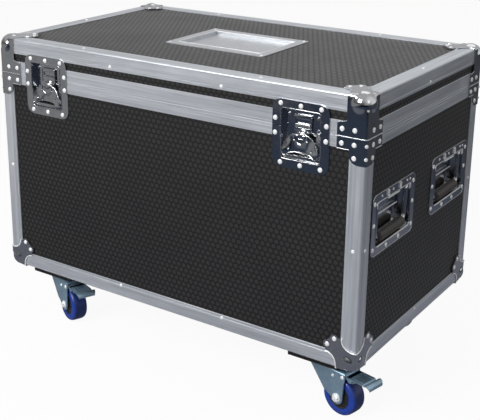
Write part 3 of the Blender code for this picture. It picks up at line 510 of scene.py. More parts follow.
def laminateMaterial():
    material, tree, shader = newMaterial("blackHexagonLaminate")
    coordinates = newNode(tree, "ShaderNodeTexCoord")
    place = coordinates.outputs["Object"]
    cells = useGroup(tree, hexagons, Place=place, Facing=coordinates.outputs["Normal"],
                     Pitch=laminate["pitch"], Groove=laminate["grooveWidth"])
    marks = useGroup(tree, handling, Place=place, Size=9.0)
    grain = noise(tree, place, 1400.0, 3.0)
    level = times(tree, cells["Cell"], remap(tree, cells["Middle"], 0.0, 1.0, 1.0, laminate["middle"]))
    level = times(tree, level, remap(tree, grain, 0.3, 0.7, 0.82, 1.12))
    feed(tree, shader.inputs["Base Color"], blendColours(tree, level, laminate["groove"], laminate["cell"]))
    worn = remap(tree, marks["Smudge"], 0.0, 1.0, 0.40, 0.48)
    feed(tree, shader.inputs["Roughness"], plus(tree, worn, remap(tree, cells["Cell"], 0, 1, 0.2, 0.0)))
    shader.inputs["Specular IOR Level"].default_value = laminate["gloss"]
    shader.inputs["Sheen Weight"].default_value = laminate["sheen"]
    shader.inputs["Sheen Roughness"].default_value = laminate["sheenRoughness"]
    bump(tree, shader, plus(tree, cells["Cell"], times(tree, grain, 0.12)), 0.6, laminate["relief"])
    return material


aluminium = {"dull": (0.57, 0.60, 0.645, 1), "bright": (0.82, 0.85, 0.895, 1), "metallic": 0.75}
alongAxis = {"x": (0.02, 1, 1), "y": (1, 0.02, 1), "z": (1, 1, 0.012)}


def aluminiumMaterial(axis):
    # Brushed along the bar's own axis
    material, tree, shader = newMaterial("brushedAluminium" + axis.upper())
    place = objectPlace(tree)
    lines = useGroup(tree, streaks, Place=stretched(tree, place, alongAxis[axis]), Fineness=1100.0)
    marks = useGroup(tree, handling, Place=place, Size=14.0)
    level = plus(tree, times(tree, lines["Streak"], 0.45), times(tree, lines["Band"], 0.55))
    level = remap(tree, level, 0.36, 0.64, 0.0, 1.0)
    feed(tree, shader.inputs["Base Color"], blendColours(tree, level, aluminium["dull"], aluminium["bright"]))
    shader.inputs["Metallic"].default_value = aluminium["metallic"]
    rough = remap(tree, lines["Streak"], 0.3, 0.7, 0.30, 0.42)
    feed(tree, shader.inputs["Roughness"], plus(tree, rough, times(tree, marks["Smudge"], 0.06)))
    bump(tree, shader, plus(tree, lines["Streak"], times(tree, marks["Rub"], 0.3)), 0.35, 0.0002)
    return material


def wornMaterial(name, size, clean, worn, roughness, rougher):
    # Smudges shift the colour and the roughness a little
    material, tree, shader = newMaterial(name)
    place = objectPlace(tree)
    marks = useGroup(tree, handling, Place=place, Size=size)
    feed(tree, shader.inputs["Base Color"], blendColours(tree, marks["Smudge"], (*clean, 1), (*worn, 1)))
    feed(tree, shader.inputs["Roughness"], remap(tree, marks["Smudge"], 0.0, 1.0, roughness, rougher))
    return material, tree, shader, place, marks["Rub"]


def platedMaterial(name, colour, roughness, smudge, metallic=1.0):
    # Polished or dull plating, a little uneven from pressing and handling
    dull = [c * (1 - smudge) for c in colour]
    rougher = roughness + 0.08
    material, tree, shader, place, rubbed = wornMaterial(name, 60.0, colour, dull, roughness, rougher)
    shader.inputs["Metallic"].default_value = metallic
    waves = plus(tree, noise(tree, place, 90.0, 2.0), times(tree, rubbed, 0.08))
    bump(tree, shader, waves, 0.15, 0.0006)
    return material


def plasticMaterial(name, colour, roughness, grainSize, coat=0.0):
    dusty = [min(1.0, c * 1.35 + 0.004) for c in colour]
    rougher = roughness + 0.1
    material, tree, shader, place = wornMaterial(name, 45.0, colour, dusty, roughness, rougher)[:4]
    shader.inputs["Coat Weight"].default_value = coat
    bump(tree, shader, noise(tree, place, grainSize, 3.0), 0.2, 0.0003)
    return material


hexagonLaminate = laminateMaterial()
aluminiumBars = {axis: aluminiumMaterial(axis) for axis in alongAxis}
chrome = platedMaterial("chromedSteel", (0.68, 0.69, 0.71), 0.08, 0.10)
rivetSteel = platedMaterial("brightRivets", (0.95, 0.96, 0.97), 0.30, 0.06, 0.35)
rollSteel = platedMaterial("rolledEdges", (0.72, 0.74, 0.77), 0.24, 0.1, 0.8)
zinc = platedMaterial("zincPlatedSteel", (0.35, 0.50, 0.62), 0.30, 0.15, 0.72)
trayMetal = platedMaterial("satinTray", (0.69, 0.71, 0.74), 0.32, 0.08, 0.7)
tyreRubber = plasticMaterial("blueTyre", (0.009, 0.040, 0.30), 0.30, 700.0, 0.15)
hubPlastic = plasticMaterial("blackHub", (0.016, 0.015, 0.014), 0.38, 500.0)
gripRubber = plasticMaterial("darkGrip", (0.050, 0.043, 0.039), 0.42, 350.0)
springSteel = platedMaterial("springSteel", (0.66, 0.67, 0.70), 0.18, 0.15)
print("materials ready")


# Carried CAD pieces

def dressNodes():
    bySlot = {"laminate": hexagonLaminate, "aluminium": aluminiumBars["x"], "chrome": chrome, "zinc": zinc,
              "tyre": tyreRubber, "bail": gripRubber, "grip": gripRubber, "hub": hubPlastic}
    for row in frame["record"]["subparts"]:
        piece = nodes[row["node"]]
        piece.data.materials.clear()
        piece.data.materials.append(bySlot[row["material_slot"]])
    nodes["label_dish"].data.materials[0] = trayMetal


dressNodes()


# Aluminium bars, each mitred to its neighbours

angle = {
    "leg": 0.030, "sheet": 0.002, "edgeRadius": 0.0035, "grooveIn": 0.0048, "grooveWide": 0.0009,
    "grooveDeep": 0.00035, "edgeEase": 0.0005, "cornerClip": 0.0336,
    "gap": 0.00012,      # left open at each mitre
}
rim = {
    "halfGap": 0.00015, "baseLeg": 0.020, "lidLeg": 0.0265, "innerLip": 0.012, "lipIn": 0.0116,
    "lipOut": 0.0131, "baseTop": 0.0048, "lidTop": 0.0020, "ease": 0.0005,
    "groove": (0.0043, 0.0093), "grooveDeep": 0.0036, "tongue": (0.0056, 0.0080), "tongueHigh": 0.003,
    "lineAt": 0.0040, "lineWide": 0.0013, "lineDeep": 0.0003, "notchGap": 0.0016, "notchDeep": 0.0114,
}
latch = {
    "place": halfLength - 0.1215, "pivotDrop": 0.013, "panWidth": 0.076, "panLow": 0.058, "panHigh": 0.032,
    "panFloor": -0.0101, "lowerFace": -0.0005, "upperFace": 0.0018, "stepAt": -0.0212, "lipRadius": 0.0012,
    "cornerRound": 0.005, "ledgeIn": 0.0012, "ledgeLow": 0.0010, "ledgeHigh": 0.0085, "ledgeDeep": -0.0040,
    "ledgeFace": -0.0028, "rivetSide": 0.0488, "rivetUpper": 0.0118, "rivetLower": -0.0139,
    "rivetTop": 0.0388, "rivetBottom": -0.0653, "rivetAcross": 0.0388,
}
axes = {"x": Vector((1, 0, 0)), "y": Vector((0, 1, 0)), "z": Vector((0, 0, 1))}


def angleSection():
    # Distances in from the two faces; the same both ways from the corner
    leg, deep = angle["leg"], angle["grooveDeep"]
    groove = leg - angle["grooveIn"]
    wide = angle["grooveWide"]
    half = [(leg, angle["edgeEase"]), (leg - angle["edgeEase"], 0), (groove, 0), (groove - deep, deep),
            (groove - wide, deep), (groove - wide - deep, 0)]
    radius = angle["edgeRadius"]
    bend = arcPath((radius, radius), radius, -90, -180, 6)
    sheet = angle["sheet"]
    return half + bend + [(q, p) for p, q in reversed(half)] + [(sheet, leg), (sheet, sheet), (leg, sheet)]


def addBar(name, start, end, first, second, section, clips, body):
    # The section's two directions are first and second; clips lists which of them the ends are mitred to
    run = end - start
    along = run.normalized()
    if first.cross(second).dot(along) < 0:
        section = [(q, p) for p, q in section]
        clips = [(q, p, c) for p, q, c in clips]
        first, second = second, first
    bar = stamped(name, section, 0, run.length, 0)
    gap = angle["gap"]
    for p, q, clip in clips:
        c = clip / 3
        sliced(bar, (c, c, c + gap), Vector((p, q, -1)))
        sliced(bar, (c, c, run.length - c - gap), Vector((p, q, 1)))
    moveBy(bar, Matrix.Translation(start) @ Matrix((first, second, along)).transposed().to_4x4())
    axis = max(axes, key=lambda key: abs(along.dot(axes[key])))
    return finishPiece(smooth(bar), aluminiumBars[axis], body)


def addBarsRound(stem, level, up, section, clips, body):
    # Four bars round the case at one height
    low, high = caseLow, caseHigh
    made = []
    for sideName, y, inward in (("Front", low.y, 1), ("Back", high.y, -1)):
        made.append(addBar(stem + sideName, Vector((low.x, y, level)), Vector((high.x, y, level)),
                           Vector((0, inward, 0)), up, section, clips, body))
    for sideName, x, inward in (("Left", low.x, 1), ("Right", high.x, -1)):
        made.append(addBar(stem + sideName, Vector((x, low.y, level)), Vector((x, high.y, level)),
                           Vector((inward, 0, 0)), up, section, clips, body))
    return made


def addAngleBars():
    section = angleSection()
    toBar, toPost, toBall = (1, 0, 0), (0, 1, 0), (-1, -1, angle["cornerClip"])
    up = Vector((0, 0, 1))
    bottom = addBarsRound("bottomAngle", caseLow.z, up, section, [toBar, toPost, toBall], "base")
    top = addBarsRound("topAngle", caseHigh.z, -up, section, [toBar, toBall], "lid")
    for x, inX, sideName in ((caseLow.x, 1, "Left"), (caseHigh.x, -1, "Right")):
        for y, inY, endName in ((caseLow.y, 1, "Front"), (caseHigh.y, -1, "Back")):
            addPost("post" + endName + sideName, x, y, inX, inY, section)
    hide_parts("base_edge_frame")
    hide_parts("lid_edge_frame")


def addPost(name, x, y, inX, inY, section):
    # Mitred to the bottom bars, and cut square under the rim
    length = baseHeight - rim["baseLeg"] - angle["gap"]
    first, second = Vector((inX, 0, 0)), Vector((0, inY, 0))
    if first.cross(second).z < 0:
        first, second = second, first
    post = stamped(name, section, 0, length, 0)
    gap = angle["gap"]
    clip = angle["cornerClip"] / 3
    sliced(post, (0, 0, gap), Vector((1, 0, -1)))
    sliced(post, (0, 0, gap), Vector((0, 1, -1)))
    sliced(post, (clip, clip, clip), Vector((-1, -1, -1)))
    turn = Matrix((first, second, Vector((0, 0, 1)))).transposed().to_4x4()
    moveBy(post, Matrix.Translation((x, y, caseLow.z)) @ turn)
    return finishPiece(smooth(post), aluminiumBars["z"], "base")


def rimSection(step, rise, top, leg, way):
    # Distances in from the face, and away from the join; the groove or the tongue is the step
    start, end = step
    near, ease, line, deep = rim["halfGap"], rim["ease"], rim["lineAt"], rim["lineDeep"]
    far = line + rim["lineWide"]
    points = [
        (ease, near), (start, near), (start, near + rise), (end, near + rise), (end, near),
        (rim["lipOut"], near), (rim["lipOut"], rim["innerLip"]), (rim["lipIn"], rim["innerLip"]),
        (rim["lipIn"], near + top), (angle["sheet"], near + top), (angle["sheet"], leg), (ease, leg),
        (0, leg - ease), (0, near + far), (deep, near + far - deep), (deep, near + line + deep),
        (0, near + line), (0, near + ease)]
    return [(u, way * v) for u, v in points]


def addRimBars():
    sections = {"base": rimSection(rim["groove"], rim["grooveDeep"], rim["baseTop"], rim["baseLeg"], -1),
                "lid": rimSection(rim["tongue"], -rim["tongueHigh"], rim["lidTop"], rim["lidLeg"], 1)}
    reach = latch["panWidth"] / 2 + rim["notchGap"]
    for body, section in sections.items():
        made = addBarsRound(body + "Rim", joinHeight, Vector((0, 0, 1)), section, [(1, 0, 0)], body)
        # the front bar is cut out behind each latch
        for side in (-1, 1):
            middle = frontFace @ Vector((side * latch["place"], baseHeight, 0))
            combine(made[0], block("latchNotch", middle + Vector((-reach, -0.01, -0.05)),
                                   middle + Vector((reach, rim["notchDeep"], 0.05))))
        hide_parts(body + "_rim")


# Rivets

rivet = {"radius": 0.0043, "height": 0.0017, "dimple": 0.0012, "sides": 16}


def addRivets(name, body, spots, size=1.0):
    # spots holds a face's frame, and the place along it, up it and out of it
    radius, height, dimple = (rivet[key] * size for key in ("radius", "height", "dimple"))
    pattern = turned("rivetPattern", [
        (radius, -0.0003), (radius, height * 0.2), (radius * 0.9, height * 0.55),
        (radius * 0.68, height * 0.86), (radius * 0.42, height), (dimple, height * 0.97),
        (dimple * 0.8, height * 0.6)], rivet["sides"])
    copies = [copyOf(pattern, name + str(i), face @ Matrix.Translation(place))
              for i, (face, *place) in enumerate(spots)]
    bpy.data.objects.remove(pattern)
    return finishPiece(joined(name, copies), rivetSteel, body)


# Ball corners

ballCorner = {
    "size": 0.064, "plateIn": 0.0003, "plateOut": 0.0019, "edgeRound": 0.0045,
    "ballRadius": 0.0213, "ballInset": 0.0153, "cornerCut": 0.0225, "insideLimit": 0.0326,
    "grain": 0.0015, "blendSteps": 7,      # the voxels and the smoothing that blend the ball into the sheet
    "noseAt": 0.0365, "mouthHalf": 0.0205, "mouthDeep": 0.0215, "rollRadius": 0.0011, "rollClear": 0.0135,
    "rivetFar": 0.0545, "rivetNear": 0.0410, "bumpRadius": 0.0080,
    "legReach": 0.0365, "braceReach": 0.053, "lidBraceHigh": 0.0247, "footLimit": 0.0625,
    "roomReach": 0.09, "cutterReach": 0.10, "shoulderRoll": (0.036, 0.0525),
}
braceSheet = {"reach": 0.053, "high": 0.0205, "tabReach": 0.0300, "tabHigh": 0.044, "tabRound": 0.016,
              "gap": 0.0003, "roll": (0.0305, 0.0522)}
lidHeight = wholeHeight - baseHeight
cyclic = {0: (1, 2), 1: (2, 0), 2: (0, 1)}


def unitVector(axis):
    return Vector([1.0 if i == axis else 0.0 for i in range(3)])


def mouthPath(steps=16):
    # The open mouth round an extrusion's edge, across the edge's diagonal and along the edge
    half, deep, nose = ballCorner["mouthHalf"], ballCorner["mouthDeep"], ballCorner["noseAt"]
    turns = [radians(-90 + 180 * k / steps) for k in range(steps + 1)]
    return [(half * sin(t), nose + deep * (1 - cos(t)) ** 1.25) for t in turns]


def mouthFrame(axis):
    i, j = cyclic[axis]
    along = (unitVector(i) - unitVector(j)).normalized()
    return faceFrame((0, 0, 0), along, unitVector(axis))


def plateFrame(axis):
    # Looks into the case, so the plate lies at a low height in it
    i, j = cyclic[axis]
    return faceFrame((0, 0, 0), unitVector(i), unitVector(j))


def roundedShell(low, high):
    # A box whose edges on the case's outer edges are rounded
    shell = block("cornerBlank", low, high)
    pick(shell)
    bpy.ops.object.mode_set(mode="EDIT")
    bpy.ops.mesh.select_all(action="DESELECT")
    bpy.ops.mesh.select_mode(type="EDGE")
    bpy.ops.object.mode_set(mode="OBJECT")
    for edge in shell.data.edges:
        ends = [shell.data.vertices[v].co for v in edge.vertices]
        edge.select = all(sum(c < 0 for c in end) >= 2 for end in ends)
    bpy.ops.object.mode_set(mode="EDIT")
    bpy.ops.mesh.bevel(offset=ballCorner["edgeRound"], segments=5, affect="EDGES")
    bpy.ops.mesh.select_mode(type="VERT")
    bpy.ops.object.mode_set(mode="OBJECT")
    return shell


def cornerBlank(far, endAt=None):
    out, inset, gap = ballCorner["plateOut"], ballCorner["ballInset"], ballCorner["plateIn"]
    blank = roundedShell((-out, -out, -out), far)
    # the sheet is cut back round the corner so that the ball stands free, and flows into it
    cut = ballCorner["cornerCut"] / 3
    sliced(blank, (cut, cut, cut), Vector((-1, -1, -1)))
    clearSelection()
    bpy.ops.mesh.primitive_uv_sphere_add(segments=48, ring_count=32, radius=ballCorner["ballRadius"],
                                         location=(inset, inset, inset), rotation=(0.61548, 0, radians(-45)))
    combine(blank, fixPlace(takeNew("cornerBall")), "UNION")
    modify(blank, "REMESH", mode="VOXEL", voxel_size=ballCorner["grain"])
    modify(blank, "SMOOTH", factor=0.5, iterations=ballCorner["blendSteps"])
    if endAt:
        sliced(blank, (0, 0, endAt), (0, 0, 1))
    room = block("cornerRoom", (-gap, -gap, -gap), [ballCorner["roomReach"]] * 3)
    clip = ballCorner["insideLimit"] / 3
    sliced(room, (clip, clip, clip), Vector((-1, -1, -1)))
    return combine(blank, room, solver="MANIFOLD")


def cutMouth(piece, axis):
    half = mouthPath()
    far = ballCorner["cutterReach"]
    outline = half + [(half[-1][0] + 0.0012, far), (half[0][0] - 0.0012, far)]
    cutter = stamped("mouthCutter", outline, -0.09, 0.03, 0)
    return combine(piece, moveBy(cutter, mouthFrame(axis)), solver="MANIFOLD")


def trimLobe(piece, axis):
    far, near, bump = ballCorner["rivetFar"], ballCorner["rivetNear"], ballCorner["bumpRadius"]
    half = arcPath((near, far), bump, 155, 4, 10)
    outline = [(0.020, 0.095), (0.0275, 0.0585)] + half + [(v, u) for u, v in reversed(half)]
    outline += [(0.0585, 0.0275), (0.095, 0.020), (0.095, 0.095)]
    cutter = stamped("lobeCutter", outline, -0.006, -0.0001, 0)
    return combine(piece, moveBy(cutter, plateFrame(axis)), solver="MANIFOLD")


def rolledMouth(name, axis, uprightReach=1.0, noseClear=0.0):
    # The bright rolled border of a mouth, laid on the outer surface of the corner
    radius, out, bend = ballCorner["rollRadius"], ballCorner["plateOut"], ballCorner["edgeRound"]
    i, j = cyclic[axis]
    runs = [[]]
    for s, along in mouthPath(28):
        if abs(s) < noseClear and runs[-1]:
            runs.append([])
        if abs(s) < noseClear or (along > uprightReach and (s < 0) == (axis == 0)):
            continue
        flat = abs(s) * sqrt(2)
        across = -out
        if flat - out < bend:
            share = max(0.0, (flat + out) / (bend + 2 * out))
            across = -out + (1 - share) ** 2 * bend * 0.42      # sinks with the rounded edge
        inward = max(flat - out, across)
        place = [0.0, 0.0, 0.0]
        place[i], place[j], place[axis] = (inward, across, along) if s > 0 else (across, inward, along)
        runs[-1].append(tuple(place))
    return joined(name, [tube(name, points, radius) for points in runs if len(points) > 1])


def bottomCorner():
    far = ballCorner["size"] + 0.006
    piece = cornerBlank((far, far, far))
    for axis in range(3):
        cutMouth(piece, axis)
        trimLobe(piece, axis)
    # the lying plate stops short of the castor's block
    limit = ballCorner["footLimit"] / 2
    reach = ballCorner["roomReach"]
    guard = block("footGuard", (limit - 0.08, limit - 0.08, -0.0042), (reach, reach, -0.0002))
    sliced(guard, (limit, limit, 0), Vector((-1, -1, 0)))
    return combine(piece, guard, solver="MANIFOLD")


def trimPlate(piece, axis, outline):
    # Takes off an upright plate what lies inside the outline, given inwards and along the case's edge
    if axis == 1:
        outline = [(v, u) for u, v in outline]
    cutter = stamped("plateCutter", outline, -0.006, -0.0001, 0)
    return combine(piece, moveBy(cutter, plateFrame(axis)), solver="MANIFOLD")


def lidCorner():
    # The upright plates run down as legs and widen into braces at the join
    corner = ballCorner["size"] + 0.006
    low = lidHeight - ballCorner["plateIn"]
    piece = cornerBlank((corner, corner, low + 0.006), low)
    reach, wide, far = ballCorner["legReach"], ballCorner["braceReach"], ballCorner["cutterReach"]
    turnAt = lidHeight - ballCorner["lidBraceHigh"]
    outline = [(reach, -0.004), (reach, turnAt - 0.004), (wide, turnAt), (wide, far), (far, far),
               (far, -0.004)]
    for axis in (0, 1):
        cutMouth(piece, axis)
        trimPlate(piece, axis, outline)
    return trimLobe(piece, 2)


def baseBrace():
    # Modelled at the join and hanging from it
    out, inside = ballCorner["plateOut"], -ballCorner["plateIn"]
    bottom, turn = braceSheet["tabHigh"], braceSheet["tabRound"]
    piece = roundedShell((-out, -out, braceSheet["gap"]), (0.07, 0.07, bottom))
    combine(piece, block("braceRoom", (inside, inside, -0.01), [ballCorner["roomReach"]] * 3))
    reach, high, tab = braceSheet["reach"], braceSheet["high"], braceSheet["tabReach"]
    far = ballCorner["cutterReach"]
    outline = [(reach, -0.01), (reach, high - 0.002), (reach - 0.002, high), (tab, high)]
    outline += arcPath((tab - turn, bottom - turn), turn, 0, 90, 8)
    outline += [(tab - turn, 0.06), (far, 0.06), (far, -0.01)]
    for axis in (0, 1):
        trimPlate(piece, axis, outline)
    return piece


def edgeRoll(name, reach, height, out, radius):
    # A rolled border round the case's upright edge, from one plate to the other
    bend = ballCorner["edgeRound"]
    path = roundedPath([(reach, -out), (-out, -out, bend), (-out, reach)], 6)
    return tube(name, [(a, b, height) for a, b in path], radius)


def cornerFrames(z, inZ):
    # Frames with all three directions inward, one for each corner, quarter turns of each other
    made = {}
    for where in corners:
        x = caseHigh.x if "right" in where else caseLow.x
        y = caseHigh.y if "back" in where else caseLow.y
        inX, inY = (-1 if "right" in where else 1), (-1 if "back" in where else 1)
        first, second, third = Vector((inX, 0, 0)), Vector((0, inY, 0)), Vector((0, 0, inZ))
        if first.cross(second).dot(third) < 0:
            first, second = second, first
        made[where] = Matrix.Translation((x, y, z)) @ Matrix((first, second, third)).transposed().to_4x4()
    return made


def properName(where):
    return "".join(word.capitalize() for word in where.split("_"))


def addCornerSet(maker, stem, nodeStem, body, frames, rollMaker, rollMaterial):
    places = [(properName(where), frameHere, body, nodeStem + where) for where, frameHere in frames.items()]
    spread(smooth(tidyMesh(maker()), 40), stem, chrome, places)
    rolls = joined("cornerRolls", rollMaker())
    spread(rolls, stem + "Roll", rollMaterial, onlyRiding(places))


def plateRolls(name, near, far, out, radius):
    # The same rolled edge on both upright plates, each end given along the plate and up it
    return [tube(name, [(near[0], -out, near[1]), (far[0], -out, far[1])], radius),
            tube(name, [(-out, *near), (-out, *far)], radius)]


def lidRolls():
    out, radius = ballCorner["plateOut"] - 0.0002, ballCorner["rollRadius"]
    low = lidHeight - radius - 0.0003
    made = [rolledMouth("roll" + str(axis), axis, ballCorner["legReach"], ballCorner["rollClear"])
            for axis in (0, 1)]
    made.append(edgeRoll("joinRoll", ballCorner["braceReach"] - 0.0005, low, out, radius * 0.85))
    turnAt = lidHeight - ballCorner["lidBraceHigh"] + 0.0006
    near, far = ballCorner["shoulderRoll"]
    return made + plateRolls("shoulderRoll", (near, turnAt - 0.004), (far, turnAt), out, radius * 0.7)


def baseBraceRolls():
    out, high = ballCorner["plateOut"] - 0.0002, braceSheet["high"] - 0.0007
    near, far = braceSheet["roll"]
    return plateRolls("braceRoll", (near, high), (far, high), out, ballCorner["rollRadius"] * 0.8)


def bottomRolls():
    return [rolledMouth("roll" + str(axis), axis) for axis in range(3)]


def addBallCorners():
    addCornerSet(bottomCorner, "bottomBallCorner", "bottom_corner_", "base", cornerFrames(caseLow.z, 1),
                 bottomRolls, rivetSteel)
    addCornerSet(lidCorner, "lidBallCorner", "lid_corner_", "lid", cornerFrames(caseHigh.z, -1),
                 lidRolls, rollSteel)
    addCornerSet(baseBrace, "baseBrace", "base_brace_", "base", cornerFrames(joinHeight, -1),
                 baseBraceRolls, rollSteel)
    print("corner fittings ready")


# Latches

latchHook = {
    "low": -0.0083, "sheet": 0.0015, "width": 0.034, "footWidth": 0.025, "foot": 0.017, "top": 0.035,
    "round": 0.003, "slotWidth": 0.027, "slotHigh": 0.008, "slotRise": 0.019, "waist": 0.0065,
    "travel": 0.005, "rollRadius": 0.0008, "beadRise": 0.0055, "beadIn": 0.003,
}
latchWing = {
    "axis": -0.0014, "sheet": 0.0016, "earRadius": 0.0032, "earStart": 0.005, "earWide": 0.003,
    "edgeRadius": 0.0009, "edgeRise": 0.0006, "lobeRise": 0.0040, "bellyDeep": 0.0012, "grain": 0.0006,
    "ringRadius": 0.0125, "ringRise": 0.0010, "ringDrop": 0.0035, "ringWide": 0.0011,
    "holeU": 0.0225, "holeV": -0.0235, "holeRadius": 0.0019, "pipU": 0.0125, "pipV": -0.0095,
    "footHalf": 0.0130, "footV": -0.0300,
}
latchStuds = {      # across, up and radius of the small rivets beside the plate
    "lower": [(0.0285, -0.0030, 0.0032), (0.0280, -0.0160, 0.0028), (0.0275, -0.0285, 0.0026),
              (0.0330, -0.0400, 0.0022), (-0.0300, -0.0460, 0.0026), (-0.0345, -0.0500, 0.0022)],
    "upper": [(0.0280, 0.0190, 0.0030), (-0.0280, 0.0200, 0.0026), (-0.0330, 0.0275, 0.0020),
              (0.0330, 0.0275, 0.0020)],
}


latchSides = {"Left": -1, "Right": 1}


def latchFrame(side):
    return frontFace @ Matrix.Translation((side * latch["place"], baseHeight, 0))


def latchPlaces(body):
    return [(name, latchFrame(side), body, None) for name, side in latchSides.items()]


def pivotPlaces(stem, height=0):
    # On the spindle, for a piece with a body of its own in each latch
    places = []
    for name, side in latchSides.items():
        frameHere = latchFrame(side) @ Matrix.Translation((0, -latch["pivotDrop"], height))
        places.append((name, frameHere, stem + name.lower(), stem + name.lower()))
    return places


def straight(half, v, w):
    # A line right across a fitting
    return [(-half, v, w), (half, v, w)]


def addLatchLips():
    half, low, high = latch["panWidth"] / 2, latch["panLow"], latch["panHigh"]
    turn, radius, step = latch["cornerRound"], latch["lipRadius"], latch["stepAt"]
    lowerW, upperW = latch["lowerFace"] - radius * 0.3, latch["upperFace"] - radius * 0.3
    join = radius * 0.9
    path = [(-half, step - 0.003), (-half, -low, turn), (half, -low, turn), (half, step - 0.003)]
    points = [(-half, -join, upperW), (-half, step, upperW)]
    points += [(u, v, lowerW) for u, v in roundedPath(path, 6)]
    points += [(half, step, upperW), (half, -join, upperW)]
    spread(tube("lowerLip", points, radius), "latchLipLower", chrome, latchPlaces("base"))
    path = [(-half, join), (-half, high, turn), (half, high, turn), (half, join)]
    points = [(u, v, upperW) for u, v in roundedPath(path, 6)]
    spread(tube("upperLip", points, radius * 0.8), "latchLipUpper", chrome, latchPlaces("lid"))
    # the ledge that closes the pan's foot under the wing
    inner, foot, top = half - latch["ledgeIn"], -low + latch["ledgeLow"], -low + latch["ledgeHigh"]
    outline = roundedPath([(-inner, foot, turn), (inner, foot, turn), (inner, top, 0.002),
                           (-inner, top, 0.002)], 5)
    ledge = stamped("ledge", outline, latch["ledgeDeep"], latch["ledgeFace"], 0.0003)
    spread(ledge, "latchLedge", chrome, latchPlaces("base"))


def addLatchRivets():
    across, sideways = latch["rivetAcross"], latch["rivetSide"]
    upper, lower = latch["upperFace"], latch["lowerFace"]
    for name, side in latchSides.items():
        face = latchFrame(side)
        lidSpots = [(face, u, latch["rivetTop"], upper) for u in (-across, 0, across)]
        lidSpots += [(face, u, latch["rivetUpper"], upper) for u in (-sideways, sideways)]
        baseSpots = [(face, u, latch["rivetBottom"], lower) for u in (-across, 0, across)]
        baseSpots += [(face, u, latch["rivetLower"], upper) for u in (-sideways, sideways)]
        addRivets("latchRivetsUpper" + name, "lid", lidSpots)
        addRivets("latchRivetsLower" + name, "base", baseSpots)


def addHooks():
    h = latchHook
    half, foot, waist, radius = h["width"] / 2, h["footWidth"] / 2, h["waist"], h["rollRadius"]
    shoulder = waist - (half - foot) / 2
    outline = roundedPath([
        (-foot, -h["foot"], foot / 2), (foot, -h["foot"], foot / 2), (foot, shoulder), (half, waist),
        (half, h["top"], h["round"]), (-half, h["top"], h["round"]), (-half, waist), (-foot, shoulder)])
    channel = rectanglePath(-waist, waist, -waist - h["travel"], waist, waist * 0.9)
    slotHalf, slotLow = h["slotWidth"] / 2, h["slotRise"]
    slot = rectanglePath(-slotHalf, slotHalf, slotLow, slotLow + h["slotHigh"], h["round"] / 2)
    low, high = h["low"], h["low"] + h["sheet"]
    parts = [stamped("hookPlate", outline, low, high, 0.0003, [channel, slot])]
    for u in (-half + radius, half - radius):
        parts.append(tube("hookSide", [(u, waist + 0.001, high), (u, h["top"] - 0.003, high)], radius))
    parts.append(tube("hookSlotLip", straight(slotHalf, slotLow - radius, high), radius * 1.1))
    parts.append(tube("hookBead", straight(half - h["beadIn"], waist + h["beadRise"], high), radius * 0.6))
    spread(joined("hook", parts), "latchHook", chrome, pivotPlaces("latch_hook_"))


def softStep(value, low, high):
    share = min(1.0, max(0.0, (value - low) / (high - low)))
    return share * share * (3 - 2 * share)


def wingHeight(u, v):
    # The two lobes rise towards their tips, and a bead is pressed round the spindle
    w = latchWing
    lobe = w["lobeRise"] * softStep(abs(u), 0.009, 0.033) * softStep(-v, 0.002, 0.030)
    ring = (Vector((u, v + w["ringDrop"])).length - w["ringRadius"]) / w["ringWide"]
    belly = w["bellyDeep"] * softStep(-v, 0.012, 0.024) * softStep(0.016 - abs(u), 0.0, 0.012)
    return lobe - belly + w["ringRise"] * 2 ** (-ring * ring)


def addWings():
    w = latchWing
    start, wide, radius = w["earStart"], w["earWide"], w["edgeRadius"]
    right = [(start, -0.0055), (start, 0.0020), (start + 0.0040, 0.0022), (0.0140, 0.0012), (0.0205, -0.0024),
             (0.0268, -0.0090), (0.0312, -0.0168), (0.0338, -0.0245), (0.0346, -0.0308), (0.0330, -0.0355),
             (0.0288, -0.0372), (0.0245, -0.0352), (0.0205, -0.0316), (w["footHalf"], w["footV"])]
    outline = right + [(-u, v) for u, v in reversed(right)]
    holes = [arcPath((hand * w["holeU"], w["holeV"]), w["holeRadius"], 0, 330, 11) for hand in (-1, 1)]
    low = -w["sheet"] / 2
    plate = stamped("wingPlate", outline, low, low + w["sheet"], 0.0003, holes)
    modify(plate, "REMESH", mode="VOXEL", voxel_size=w["grain"])
    modify(plate, "SMOOTH", factor=0.5, iterations=2)
    for vertex in plate.data.vertices:
        vertex.co.z += wingHeight(vertex.co.x, vertex.co.y)
    parts = [smooth(plate, 60)]
    for hand in (-1, 1):
        ear = turned("wingEar", [(w["earRadius"], 0), (w["earRadius"], wide)], 20)
        earPlace = Matrix.Translation((hand * (start + wide / 2) - wide / 2, 0, 0))
        parts.append(moveBy(ear, earPlace @ Matrix.Rotation(pi / 2, 4, "Y")))
        # the rolled finger edge round each lobe
        finger = [(hand * u, v, wingHeight(u, v) + w["edgeRise"]) for u, v in right[2:]]
        parts.append(tube("wingEdge", finger, radius))
        pip = turned("wingPip", [(0.0018, 0), (0.0016, 0.0008), (0.0008, 0.0012)], 14)
        parts.append(moveBy(pip, Matrix.Translation((hand * w["pipU"], w["pipV"], 0.0010))))
    across = [w["footHalf"] * k / 4 for k in range(-4, 5)]
    foot = [(u, w["footV"], wingHeight(u, w["footV"]) + w["edgeRise"]) for u in across]
    parts.append(tube("wingFoot", foot, radius))
    spread(joined("wing", parts), "latchWing", chrome, pivotPlaces("latch_wing_", w["axis"]))


